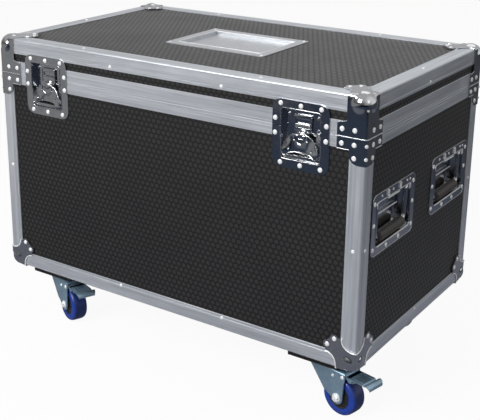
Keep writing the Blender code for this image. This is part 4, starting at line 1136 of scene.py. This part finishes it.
def addSpindles():
    # The race ring on the plate, the post and its stepped head, and the block that the wing folds on
    floor = latch["panFloor"]
    parts = [turned("spindlePost", [
        (0.0090, floor + 0.0004), (0.0090, floor + 0.0014), (0.0084, floor + 0.0016),
        (0.0060, floor + 0.0016), (0.0060, -0.0064), (0.0098, -0.0064), (0.0102, -0.0060),
        (0.0102, -0.0052), (0.0096, -0.0048), (0.0080, -0.0048), (0.0074, -0.0044), (0.0070, -0.0044),
        (0.0070, -0.0050), (0.0056, -0.0050), (0.0054, -0.0030), (0.0046, -0.0024)], 32)]
    earBlock = block("earBlock", (-0.0044, -0.0036, -0.0052), (0.0044, 0.0036, 0.0004))
    parts.append(softEdges(earBlock, 0.0009, 3))
    parts.append(tube("wingPin", straight(0.0090, 0, latchWing["axis"]), 0.0015, sides=3))
    spread(joined("spindle", parts), "latchSpindle", chrome, pivotPlaces("latch_spindle_"))


def studs(name, spots):
    floor = latch["panFloor"]
    made = []
    for u, v, radius in spots:
        stud = turned(name, [(radius, floor), (radius, floor + 0.0010), (radius * 0.75, floor + 0.0022),
                             (radius * 0.3, floor + 0.0026)], 14)
        made.append(moveBy(stud, Matrix.Translation((u, v, 0))))
    return made


def addLatchStuds():
    # The spring keeper and its small rivets beside the plate
    floor = latch["panFloor"]
    lower, upper = studs("latchStud", latchStuds["lower"]), studs("strikeStud", latchStuds["upper"])
    keeper = rectanglePath(0.0235, 0.0345, -0.0245, -0.0065, 0.003)
    lower.append(stamped("springKeeper", keeper, floor + 0.0002, floor + 0.0014, 0.0004))
    turns = [2 * pi * 8 * k / 96 for k in range(97)]
    coil = [(0.0290 + 0.0022 * cos(t), -0.0240 + 0.0160 * t / (16 * pi), floor + 0.0034 + 0.0018 * sin(t))
            for t in turns]
    lower.append(tube("keeperSpring", coil, 0.0006, sides=1))
    spread(joined("studs", lower), "latchStudsLower", springSteel, latchPlaces("base"))
    spread(joined("studs", upper), "latchStudsUpper", springSteel, latchPlaces("lid"))


def addLatches():
    addLatchLips()
    addLatchRivets()
    addHooks()
    addWings()
    addSpindles()
    addLatchStuds()
    print("latches ready")


# Handles

handle = {
    "inset": 0.1215, "height": 0.255, "halfWidth": 0.085, "halfHigh": 0.0565, "corner": 0.014,
    "openHalfWidth": 0.069, "openHalfHigh": 0.040, "openCorner": 0.006, "face": -0.0005,
    "lipRadius": 0.0012, "borderRadius": 0.0007, "axisRise": 0.033, "axisDepth": 0.007, "drop": 0.061,
    "bailHalf": 0.058, "pin": 0.0095, "shoulder": 0.0040, "rodRadius": 0.004, "bend": 0.012,
    "gripRadius": 0.0095, "gripHalf": 0.047, "grooves": 9, "earOut": 0.0650, "rivetU": 0.0768,
    "rivetRows": (-0.0420, 0.0020, 0.0410), "footRivetU": 0.0245, "footRivetV": -0.0485,
    "smallRivets": ((-0.050, 0.0485), (0.050, 0.0485), (-0.006, 0.0490), (0.062, 0.0480)),
}
dish = {      # what is pressed into the dish or stands on its flange
    "ledge": ((-0.056, 0.0060, -0.0165), (0.045, 0.0060, -0.0165)), "ledgeRadius": 0.0012,
    "stopBar": ((-0.020, 0.0360, -0.0035), (0.024, 0.0360, -0.0035)), "stopBarRadius": 0.0022,
    "coverU": (-0.030, 0.018), "coverWide": 0.0065, "coverLow": 0.0425, "coverTop": 0.0545,
    "coverHigh": 0.0022, "earHalf": 0.0065, "earLow": -0.0060, "earTop": 0.0080, "earSheet": 0.0030,
    "earRound": 0.004,
}


def handlePlaces():
    # Each handle's name, frame and bail
    for end, face, ways in (("right", rightFace, ("front", "back")), ("left", leftFace, ("back", "front"))):
        for side, where in zip((-1, 1), ways):
            spot = Matrix.Translation((side * (halfDepth - handle["inset"]), handle["height"], 0))
            yield end.capitalize() + where.capitalize(), face @ spot, f"handle_bail_{end}_{where}"


def addHandleTrim():
    h = handle
    places = [(*place[:2], "base", None) for place in handlePlaces()]
    face, edge = h["face"], h["borderRadius"]
    wide, high = h["openHalfWidth"], h["openHalfHigh"]
    loop = rectanglePath(-wide, wide, -high, high, h["openCorner"])
    edges = [tube("handleLip", [(u, v, face - 0.0003) for u, v in loop], h["lipRadius"], True)]
    wide, high = h["halfWidth"] - edge, h["halfHigh"] - edge
    loop = rectanglePath(-wide, wide, -high, high, h["corner"] - edge, 8)
    edges.append(tube("handleBorder", [(u, v, face - 0.0003) for u, v in loop], edge, True))
    spread(joined("edges", edges), "handleEdges", chrome, places)
    # the bright lower lip, and the ledge pressed across the dish
    lip = straight(h["openHalfWidth"] - h["openCorner"], -h["openHalfHigh"], 0.0003)
    parts = [tube("lowerLip", lip, h["lipRadius"] * 1.1),
             tube("dishLedge", dish["ledge"], dish["ledgeRadius"])]
    # spring covers on the upper flange, and the stop bar under them
    for u in dish["coverU"]:
        cover = rectanglePath(u, u + dish["coverWide"], dish["coverLow"], dish["coverTop"], 0.0025)
        parts.append(stamped("springCover", cover, face, face + dish["coverHigh"], 0.0009))
    parts.append(tube("stopBar", dish["stopBar"], dish["stopBarRadius"]))
    # the ears that the bail turns in, upright on either side
    half, low, top, turn = dish["earHalf"], dish["earLow"], dish["earTop"], dish["earRound"]
    earPath = roundedPath([(-half, low, turn), (half, low, turn), (half, top), (-half, top)])
    earTurn = Matrix(((0, 0, 1, 0), (0, 1, 0, 0), (-1, 0, 0, 0), (0, 0, 0, 1)))
    for u in (-h["earOut"], h["earOut"]):
        ear = stamped("bailEar", earPath, 0, dish["earSheet"], 0.0004)
        earPlace = Matrix.Translation((u - dish["earSheet"] / 2, h["axisRise"], -h["axisDepth"]))
        parts.append(moveBy(ear, earPlace @ earTurn))
    spread(joined("trim", parts), "handleTrim", rivetSteel, places)
    for name, frameHere in (place[:2] for place in places):
        spots = [(frameHere, u, v, face) for u in (-h["rivetU"], h["rivetU"]) for v in h["rivetRows"]]
        spots += [(frameHere, u, h["footRivetV"], face) for u in (-h["footRivetU"], h["footRivetU"])]
        addRivets("handleRivets" + name, "base", spots, 0.92)
        small = [(frameHere, u, v, face) for u, v in h["smallRivets"]]
        addRivets("handleSmallRivets" + name, "base", small, 0.55)


def addBails():
    h = handle
    drop, half, bend, shoulder = h["drop"], h["bailHalf"], h["bend"], h["shoulder"]
    pin = half + h["pin"]
    path = roundedPath([(-pin, 0), (-half, 0, shoulder), (-half, -drop, bend), (half, -drop, bend),
                        (half, 0, shoulder), (pin, 0)], 6)
    rod = tube("rod", [(u, v, 0) for u, v in path], h["rodRadius"], sides=4)
    axis = Matrix.Translation((0, h["axisRise"], -h["axisDepth"]))
    places = [(name, frameHere @ axis, bail, bail) for name, frameHere, bail in handlePlaces()]
    spread(rod, "bailRod", springSteel, places)
    half, radius, grooves = h["gripHalf"], h["gripRadius"], h["grooves"]
    tip = [(radius * 0.72, half), (radius * 0.9, half - 0.0006), (radius, half - 0.0030)]
    profile = [(r, -w) for r, w in tip]
    for k in range(grooves):
        start = -half + 0.008 + k * (2 * half - 0.016) / grooves
        profile += [(radius, start), (radius * 0.955, start + 0.0007), (radius * 0.955, start + 0.0016),
                    (radius, start + 0.0023)]
    across = Matrix.Translation((0, -drop, 0)) @ Matrix.Rotation(pi / 2, 4, "Y")
    places = [(name, frameHere @ axis @ across, bail, None) for name, frameHere, bail in handlePlaces()]
    spread(turned("grip", profile + tip[::-1], 28), "bailGrip", gripRubber, places)


def addHandles():
    addHandleTrim()
    addBails()
    print("handles ready")


# Castors, modelled about the king pin with the trail along x

castor = {
    "insetEnd": 0.0835, "insetSide": 0.072, "trail": 0.034, "radius": 0.038, "width": 0.032,
    "turns": {"front_right": -12.5, "front_left": -23.0, "back_right": 160.0, "back_left": 152.0},
    "forkHalf": 0.022, "forkSheet": 0.003, "forkLow": 0.020, "crownHigh": 0.0930, "bend": 0.006,
    "bossRadius": 0.0130, "pedalAt": 0.046, "pedalHigh": 0.084, "plateLow": 0.1052, "boltU": 0.038,
    "boltV": 0.031, "hubRadius": 0.0236,
}


def castorPlace(where):
    x = (caseHigh.x - castor["insetEnd"]) if "right" in where else (caseLow.x + castor["insetEnd"])
    y = (caseHigh.y - castor["insetSide"]) if "back" in where else (caseLow.y + castor["insetSide"])
    return x, y


def castorFrame(where):
    turn = Matrix.Rotation(radians(castor["turns"][where]), 4, "Z")
    return Matrix.Translation((*castorPlace(where), 0)) @ turn


def castorPlaces(stem, among=corners):
    return [(properName(where), castorFrame(where), stem + where, stem + where) for where in among]


uprightPlane = Matrix(((1, 0, 0, 0), (0, 0, -1, 0), (0, 1, 0, 0), (0, 0, 0, 1)))
crossPlane = Matrix(((0, 0, 1, 0), (1, 0, 0, 0), (0, 1, 0, 0), (0, 0, 0, 1)))


def forkBlank():
    c = castor
    half, sheet, high, bend, low = c["forkHalf"], c["forkSheet"], c["crownHigh"], c["bend"], c["forkLow"]
    inner, under = half - sheet, high - sheet
    section = roundedPath([
        (-half, low), (-half, high, bend), (half, high, bend), (half, low), (inner, low),
        (inner, under, bend - sheet), (-inner, under, bend - sheet), (-inner, low)], 6)
    shell = moveBy(stamped("forkShell", section, -0.040, 0.060, 0), crossPlane)
    # the side seen square on: a concave back edge, the round boss and a nearly straight front edge
    shares = [k / 10 for k in range(10)]
    back = [(-0.0300 + 0.0370 * t + 0.0090 * t * (1 - t), 0.0845 - 0.0440 * t - 0.010 * t * (1 - t))
            for t in shares]
    foot = arcPath((c["trail"], c["radius"]), c["bossRadius"], 190, 355, 16)
    front = [(0.0490, 0.0700), (0.0510, 0.0790), (0.0510, high + 0.01), (-0.0300, high + 0.01)]
    side = moveBy(stamped("forkSide", back + foot + front, -0.03, 0.03, 0), uprightPlane)
    combine(shell, side, "INTERSECT")
    return softEdges(tidyMesh(shell), 0.0007, 2, 50)


def forkParts():
    race = [(0.0270, 0.0925), (0.0270, 0.0960), (0.0262, 0.0975), (0.0250, 0.0981), (0.0225, 0.0981),
            (0.0225, 0.0940)]
    return [forkBlank(), turned("forkRace", race, 40)]


def onFork(piece, x, z, hand):
    return moveBy(piece, Matrix.Translation((x, hand * castor["forkHalf"], z)) @ aimed((0, hand, 0)))


def crossPin(name, x, z, radius, sides):
    reach = castor["forkHalf"] - 0.001
    return tube(name, [(x, -reach, z), (x, reach, z)], radius, sides=sides)


def addForkBolts(among, withPedal):
    # The axle's bolt and nut, and the pins of the brake
    axle = castor["trail"], castor["radius"]
    pivot = castor["pedalAt"], castor["pedalHigh"]
    parts = [crossPin("axle", *axle, 0.0038, 4)]
    for hand in (-1, 1):
        washer = turned("axleWasher", [(0.0088, -0.0004), (0.0088, 0.0009), (0.0082, 0.0013)], 28)
        parts.append(onFork(washer, *axle, hand))
        head = turned("axleHead", [(0.0072, 0.0009), (0.0072, 0.0040), (0.0060, 0.0050), (0.0020, 0.0050)], 6)
        bpy.ops.object.shade_flat()
        parts.append(onFork(head, *axle, hand))
        for x, z, size in ((*pivot, 1.0), (0.024, 0.080, 0.75)) if withPedal else ():
            pin = turned("brakePin", [(0.0038 * size, -0.0004), (0.0038 * size, 0.0010),
                                      (0.0028 * size, 0.0019), (0.0010 * size, 0.0021)], 20)
            parts.append(onFork(pin, x, z, hand))
    if withPedal:
        parts.append(crossPin("pedalPin", *pivot, 0.0023, 3))
    places = onlyRiding(castorPlaces("castor_fork_", among))
    spread(joined("bolts", parts), "castorFasteners", rivetSteel, places)


tyre = {"tread": (0.005, 0.015, 0.10, 1), "flank": (0.008, 0.040, 0.30, 1), "dust": (0.018, 0.035, 0.13, 1)}


def tyreMaterial(where):
    # Bright blue flanks, and a darker running surface
    material, tree, shader = newMaterial("blueTyre" + properName(where))
    coordinates = newNode(tree, "ShaderNodeTexCoord")
    across = newNode(tree, "ShaderNodeVectorMath", operation="DOT_PRODUCT")
    feed(tree, across.inputs[0], coordinates.outputs["Normal"])
    across.inputs[1].default_value = castorFrame(where).to_3x3() @ Vector((0, 1, 0))
    flank = remap(tree, calc(tree, "ABSOLUTE", across.outputs["Value"]), 0.10, 0.75, 0.0, 1.0, True)
    marks = useGroup(tree, handling, Place=coordinates.outputs["Object"], Size=45.0)
    blue = blendColours(tree, flank, tyre["tread"], tyre["flank"])
    dusty = times(tree, marks["Smudge"], 0.4)
    feed(tree, shader.inputs["Base Color"], blendColours(tree, dusty, blue, tyre["dust"]))
    feed(tree, shader.inputs["Roughness"], remap(tree, marks["Smudge"], 0.0, 1.0, 0.30, 0.42))
    shader.inputs["Coat Weight"].default_value = 0.1
    bump(tree, shader, noise(tree, coordinates.outputs["Object"], 700.0, 3.0), 0.2, 0.0003)
    return material


def bothSides(side):
    return [(r, -w) for r, w in side] + [(r, w) for r, w in reversed(side)]


def addWheels():
    radius, half, hub = castor["radius"], castor["width"] / 2, castor["hubRadius"]
    side = [(hub, half - 0.0035), (hub, half - 0.0006), (hub + 0.0010, half), (radius - 0.0052, half),
            (radius - 0.0030, half - 0.0008), (radius - 0.0012, half - 0.0030),
            (radius - 0.0002, half - 0.0065), (radius, half - 0.0110)]
    ring = turned("ring", bothSides(side), 64)
    axle = Matrix.Translation((castor["trail"], 0, radius))
    places = []
    for where in corners:
        wheel = "castor_wheel_" + where
        place = castorFrame(where) @ axle @ aimed((0, 1, 0))
        places.append((properName(where), place, wheel, None))
        tyreHere = copyOf(ring, "tyre" + properName(where), place)
        finishPiece(tyreHere, tyreMaterial(where), wheel)
        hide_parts(wheel)
    bpy.data.objects.remove(ring)
    side = [(0.0046, 0.0186), (0.0105, 0.0186), (0.0112, 0.0178), (0.0112, 0.0150), (0.0150, 0.0138),
            (0.0156, 0.0132), (0.0200, 0.0132), (0.0206, 0.0150), (0.0232, 0.0152), (0.0235, 0.0140)]
    spread(turned("centre", bothSides(side), 48), "hub", hubPlastic, places)


brakePedal = {"low": 0.0840, "sheet": 0.0020, "treadHalf": 0.021, "barrelRadius": 0.0050, "innerHalf": 0.0182,
              "ribOut": 0.0125, "cheekOut": 0.0170, "cheekHalf": 0.0008, "shoeHalf": 0.0118,
              "shoeClear": 0.0003}


def pedalSection():
    # The tread seen from the side: flat, then a groove, then a lip that arches over and down
    low, sheet = brakePedal["low"], brakePedal["sheet"]
    top = [(0.0530, 0), (0.0890, 0), (0.0908, -0.0016), (0.0926, -0.0014), (0.0948, 0.0012), (0.0975, 0.0024),
           (0.1003, 0.0020), (0.1028, 0.0002), (0.1046, -0.0026), (0.1054, -0.0058)]
    upper = [(x, low + sheet + rise) for x, rise in top]
    return [(x, z - sheet) for x, z in upper] + upper[::-1]


def addPedals(among):
    p = brakePedal
    tread = stamped("tread", pedalSection(), -p["treadHalf"], p["treadHalf"], 0)
    moveBy(tread, uprightPlane)
    # the tread's corners are rounded off seen from above
    half = [(0.0500, 0.0185, 0.002), (0.0880, 0.0185, 0.001), (0.0920, 0.0165, 0.001),
            (0.0960, 0.0208, 0.001), (0.1075, 0.0208, 0.008)]
    outline = roundedPath([(x, -y, r) for x, y, r in half] + half[::-1], 6)
    combine(tread, stamped("treadMask", outline, 0.07, 0.11, 0), "INTERSECT")
    softEdges(tidyMesh(tread), 0.0005, 2, 50)
    inner, radius = p["innerHalf"], p["barrelRadius"]
    barrel = turned("pedalBarrel", [(radius, -inner), (radius, inner)], 24)
    moveBy(barrel, Matrix.Translation((castor["pedalAt"], 0, castor["pedalHigh"])) @ aimed((0, 1, 0)))
    neck = softEdges(block("pedalNeck", (0.0465, -inner, 0.0842), (0.0600, inner, 0.0860)), 0.0004)
    parts = [tread, barrel, neck]
    ribPath = rectanglePath(0.0620, 0.0870, -0.0012, 0.0012, 0.001)
    for hand in (-1, 1):
        rib = stamped("treadRib", ribPath, 0.0858, 0.0868, 0.0004)
        parts.append(moveBy(rib, Matrix.Translation((0, hand * p["ribOut"], 0))))
    cheek = roundedPath([(0.0470, 0.0850), (0.0640, 0.0850), (0.0640, 0.0760, 0.004),
                         (0.0575, 0.0760, 0.003)])
    for hand in (-1, 1):
        plate = stamped("pedalCheek", cheek, -p["cheekHalf"], p["cheekHalf"], 0.0003)
        parts.append(moveBy(plate, Matrix.Translation((0, hand * p["cheekOut"], 0)) @ uprightPlane))
    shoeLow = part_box("brake_pedal_front_right")[0].z + p["shoeClear"]
    shoe = block("brakeShoe", (0.0562, -p["shoeHalf"], shoeLow), (0.0638, p["shoeHalf"], 0.0845))
    parts.append(softEdges(shoe, 0.0004))
    spread(joined("pedal", parts), "brakePedal", zinc, castorPlaces("brake_pedal_", among))


def addCastors():
    front = [where for where in corners if "front" in where]
    back = [where for where in corners if "back" in where]
    spread(joined("fork", forkParts()), "castorFork", zinc, castorPlaces("castor_fork_"))
    addForkBolts(front, True)
    addForkBolts(back, False)
    addWheels()
    addPedals(front)
    for where in corners:
        under = faceFrame((*castorPlace(where), castor["plateLow"]), (1, 0, 0), (0, -1, 0))
        spots = [(under, u, v, 0) for u in (-castor["boltU"], castor["boltU"])
                 for v in (-castor["boltV"], castor["boltV"])]
        addRivets("castorBolts" + properName(where), "base", spots)
    print("castors ready")


# Label dish, hinges and the rivets along the extrusions

labelDish = {"openLength": 0.192, "openWidth": 0.132, "face": -0.0005, "lipRadius": 0.0009, "corner": 0.003,
             "rivetU": 0.1065, "rivetV": 0.079}


def addLabelTrim():
    half, wide, face = labelDish["openLength"] / 2, labelDish["openWidth"] / 2, labelDish["face"]
    loop = rectanglePath(-half, half, -wide, wide, labelDish["corner"])
    lip = tube("labelDishLip", [(u, v, face - 0.0002) for u, v in loop], labelDish["lipRadius"], True)
    finishPiece(moveBy(lip, topFace), rivetSteel, "lid")
    spots = [(topFace, u, v, face) for u in (-labelDish["rivetU"], labelDish["rivetU"])
             for v in (-labelDish["rivetV"], labelDish["rivetV"])]
    addRivets("labelDishRivets", "lid", spots, 0.7)


hinge = {"place": halfLength - 0.180, "out": 0.0023, "screwU": 0.024, "screwV": 0.0115}


def addHingeScrews():
    for part, body, sign in (("Lower", "base", -1), ("Upper", "lid", 1)):
        spots = []
        for side in (-1, 1):
            face = backFace @ Matrix.Translation((side * hinge["place"], baseHeight, 0))
            spots += [(face, u, sign * hinge["screwV"], hinge["out"])
                      for u in (-hinge["screwU"], 0, hinge["screwU"])]
        addRivets("hingeScrews" + part, body, spots, 0.8)


seamRivets = {"insetAngle": 0.0235, "postIn": 0.0150, "postHeight": 0.223, "lidU": (-0.124, 0.128),
              "baseU": (-0.110, 0.133), "baseRow": 0.0245, "endRow": 0.0240, "topU": 0.200, "topIn": 0.015}


def addSeamRivets():
    s = seamRivets
    base, lid = [], []
    lidRow = wholeHeight - s["insetAngle"]
    for face in (frontFace, backFace):
        lid += [(face, u, lidRow, 0) for u in s["lidU"]]
        base += [(face, u, s["baseRow"], 0) for u in s["baseU"]]
        base += [(face, side * (halfLength - s["postIn"]), s["postHeight"], 0) for side in (-1, 1)]
    for face in (rightFace, leftFace):
        lid.append((face, 0, lidRow, 0))
        base.append((face, 0, s["endRow"], 0))
        base += [(face, side * (halfDepth - s["postIn"]), s["postHeight"], 0) for side in (-1, 1)]
    reachU, reachV = halfLength - s["topIn"], halfDepth - s["topIn"]
    lid += [(topFace, u, v, 0) for u in (-s["topU"], s["topU"]) for v in (-reachV, reachV)]
    lid += [(topFace, u, 0, 0) for u in (-reachU, reachU)]
    addRivets("seamRivetsBase", "base", base, 0.8)
    addRivets("seamRivetsLid", "lid", lid, 0.8)


fittingRivets = {"lidRow": 0.0140, "braceFar": 0.0440, "braceNear": 0.0210, "baseRow": 0.0105,
                 "tabRow": 0.0330, "tabIn": 0.0205, "edgeIn": -0.0008, "edgeUpper": 0.0092,
                 "edgeLower": 0.0315}


def outerPlate(frameHere, axis):
    return frameHere @ plateFrame(axis) @ Matrix.Rotation(pi, 4, "X")


def lobeSpots(plate):
    near, far, out = ballCorner["rivetNear"], ballCorner["rivetFar"], ballCorner["plateOut"]
    return [(plate, near, -far, out), (plate, far, -near, out)]


def plateSpot(plate, axis, inward, above):
    # The second upright plate has its two directions swapped
    place = (inward, above) if axis == 0 else (-above, -inward)
    return (plate, *place, ballCorner["plateOut"])


def addCornerRivets():
    f = fittingRivets
    lobes, lidLobes, lidRows, baseRows, edgeRows = [], [], [], [], []
    for frameHere in cornerFrames(caseLow.z, 1).values():
        lobes += lobeSpots(outerPlate(frameHere, 0)) + lobeSpots(outerPlate(frameHere, 1))
    for frameHere in cornerFrames(caseHigh.z, -1).values():
        lidLobes += lobeSpots(outerPlate(frameHere, 2))
    for frameHere in cornerFrames(joinHeight, -1).values():
        for axis in (0, 1):
            plate = outerPlate(frameHere, axis)
            for inward in (f["braceFar"], f["braceNear"]):
                lidRows.append(plateSpot(plate, axis, inward, f["lidRow"]))
                baseRows.append(plateSpot(plate, axis, inward, -f["baseRow"]))
            baseRows.append(plateSpot(plate, axis, f["tabIn"], -f["tabRow"]))
        for drop in (f["edgeUpper"], f["edgeLower"]):
            edge = faceFrame((f["edgeIn"], f["edgeIn"], drop), Vector((-1, 1, 0)).normalized(), (0, 0, -1))
            edgeRows.append((frameHere @ edge, 0, 0, 0))
    addRivets("bottomCornerRivets", "base", lobes)
    addRivets("lidLobeRivets", "lid", lidLobes, 0.85)
    addRivets("lidBraceRivets", "lid", lidRows)
    addRivets("baseBraceRivets", "base", baseRows)
    addRivets("baseEdgeRivets", "base", edgeRows, 0.72)


addAngleBars()
addRimBars()
print("aluminium bars ready")
addBallCorners()
addCornerRivets()
addLatches()
addHandles()
addCastors()
addLabelTrim()
addHingeScrews()
addSeamRivets()
print("rivets ready")


# Studio

studio = {
    "floorSize": 60.0,
    "floorGlow": 0.94,      # how much of its colour the floor gives as light to the camera
    "world": 0.30,
    "glossLift": 0.18,
    "rightLift": 0.30,
    "frontHorizon": 0.10,
    "sweepGloss": (0.24, 0.244, 0.25, 1),
    "rightGloss": (0.055, 0.057, 0.066, 1),
    "nearGloss": (0.150, 0.155, 0.185, 1),
    "middleGloss": (0.036, 0.048, 0.074, 1),
    "farGloss": (0.007, 0.007, 0.010, 1),
}
softboxes = {      # place, what it is aimed at, size and watts
    "keySoftbox": ((-0.7, -3.2, 2.3), (0.05, 0, 0.35), 1.7, 122.0),
    "fillSoftbox": ((3.0, -1.2, 1.9), (0.2, 0, 0.3), 1.2, 3.0),
    "topSoftbox": ((-0.4, 1.8, 3.0), (0, 0, 0.5), 2.2, 12.0),
}


def addFloor():
    clearSelection()
    bpy.ops.mesh.primitive_plane_add(size=studio["floorSize"], location=(0, 0, -0.0002))
    floor = fixPlace(takeNew("studioFloor"))
    material = bpy.data.materials.new("paleStudioFloor")
    material.use_nodes = True
    tree = material.node_tree
    tree.nodes.clear()
    out = newNode(tree, "ShaderNodeOutputMaterial")
    path = newNode(tree, "ShaderNodeLightPath")
    place = newNode(tree, "ShaderNodeSeparateXYZ")
    spot = newNode(tree, "ShaderNodeNewGeometry").outputs["Position"]
    feed(tree, place.inputs[0], spot)
    # metal sees a pale sweep on the left, and elsewhere a floor that darkens from the case to the horizon
    sweep = remap(tree, place.outputs[0], -0.80, -1.25, 0.0, 1.0, True)
    mirrored = calc(tree, "MAXIMUM", path.outputs["Is Glossy Ray"], path.outputs["Is Transmission Ray"])
    away = newNode(tree, "ShaderNodeVectorMath", operation="LENGTH")
    feed(tree, away.inputs[0], spot)
    middle = remap(tree, away.outputs["Value"], 0.75, 1.55, 0.0, 1.0, True)
    seen = blendColours(tree, middle, studio["nearGloss"], studio["middleGloss"])
    far = remap(tree, away.outputs["Value"], 2.1, 2.9, 0.0, 1.0, True)
    seen = blendColours(tree, far, seen, studio["farGloss"])
    seen = blendColours(tree, sweep, seen, studio["sweepGloss"])
    behind = remap(tree, plus(tree, place.outputs[0], place.outputs[1]), 1.5, 2.3, 0.0, 1.0, True)
    seen = blendColours(tree, behind, seen, studio["rightGloss"])
    glow = newNode(tree, "ShaderNodeEmission")
    feed(tree, glow.inputs["Color"], blendColours(tree, path.outputs["Is Camera Ray"], seen, (1, 1, 1, 1)))
    pale = newNode(tree, "ShaderNodeBsdfDiffuse")
    pale.inputs["Color"].default_value = (0.85, 0.85, 0.85, 1)
    mix = newNode(tree, "ShaderNodeMixShader")
    glowing = times(tree, path.outputs["Is Camera Ray"], studio["floorGlow"])
    feed(tree, mix.inputs[0], plus(tree, glowing, mirrored))
    feed(tree, mix.inputs[1], pale.outputs[0])
    feed(tree, mix.inputs[2], glow.outputs[0])
    feed(tree, out.inputs["Surface"], mix.outputs[0])
    floor.data.materials.append(material)


def addLamp(name, place, target, size, power):
    clearSelection()
    bpy.ops.object.light_add(type="AREA", location=place)
    lamp = takeNew(name)
    lamp.rotation_euler = (Vector(target) - Vector(place)).to_track_quat("-Z", "Y").to_euler()
    lamp.data.shape = "SQUARE"
    lamp.data.size = size
    lamp.data.energy = power


def addWorld():
    world = bpy.data.worlds.new("softStudio")
    bpy.context.scene.world = world
    world.use_nodes = True
    tree = world.node_tree
    sky = tree.nodes["Background"]
    path = newNode(tree, "ShaderNodeLightPath")
    ray = newNode(tree, "ShaderNodeSeparateXYZ")
    feed(tree, ray.inputs[0], newNode(tree, "ShaderNodeTexCoord").outputs["Generated"])
    # metal sees the room grow dark towards the horizon in front of the case, and brighter on the right
    lift = studio["glossLift"]
    darkest = studio["world"] + lift - studio["frontHorizon"]
    low = remap(tree, ray.outputs[2], 0.02, 0.80, darkest, 0.0, True)
    front = remap(tree, ray.outputs[1], -0.25, 0.35, 1.0, 0.0, True)
    right = remap(tree, ray.outputs[0], 0.25, 0.8, lift, lift + studio["rightLift"], True)
    shade = calc(tree, "SUBTRACT", right, times(tree, low, front))
    level = plus(tree, studio["world"], times(tree, shade, path.outputs["Is Glossy Ray"]))
    level = calc(tree, "MAXIMUM", level, path.outputs["Is Camera Ray"])
    feed(tree, sky.inputs["Strength"], level)
    sky.inputs["Color"].default_value = (1, 1, 1, 1)


addFloor()
for softbox, settings in softboxes.items():
    addLamp(softbox, *settings)
addWorld()
bpy.context.scene.view_settings.view_transform = "Standard"
print("studio ready")
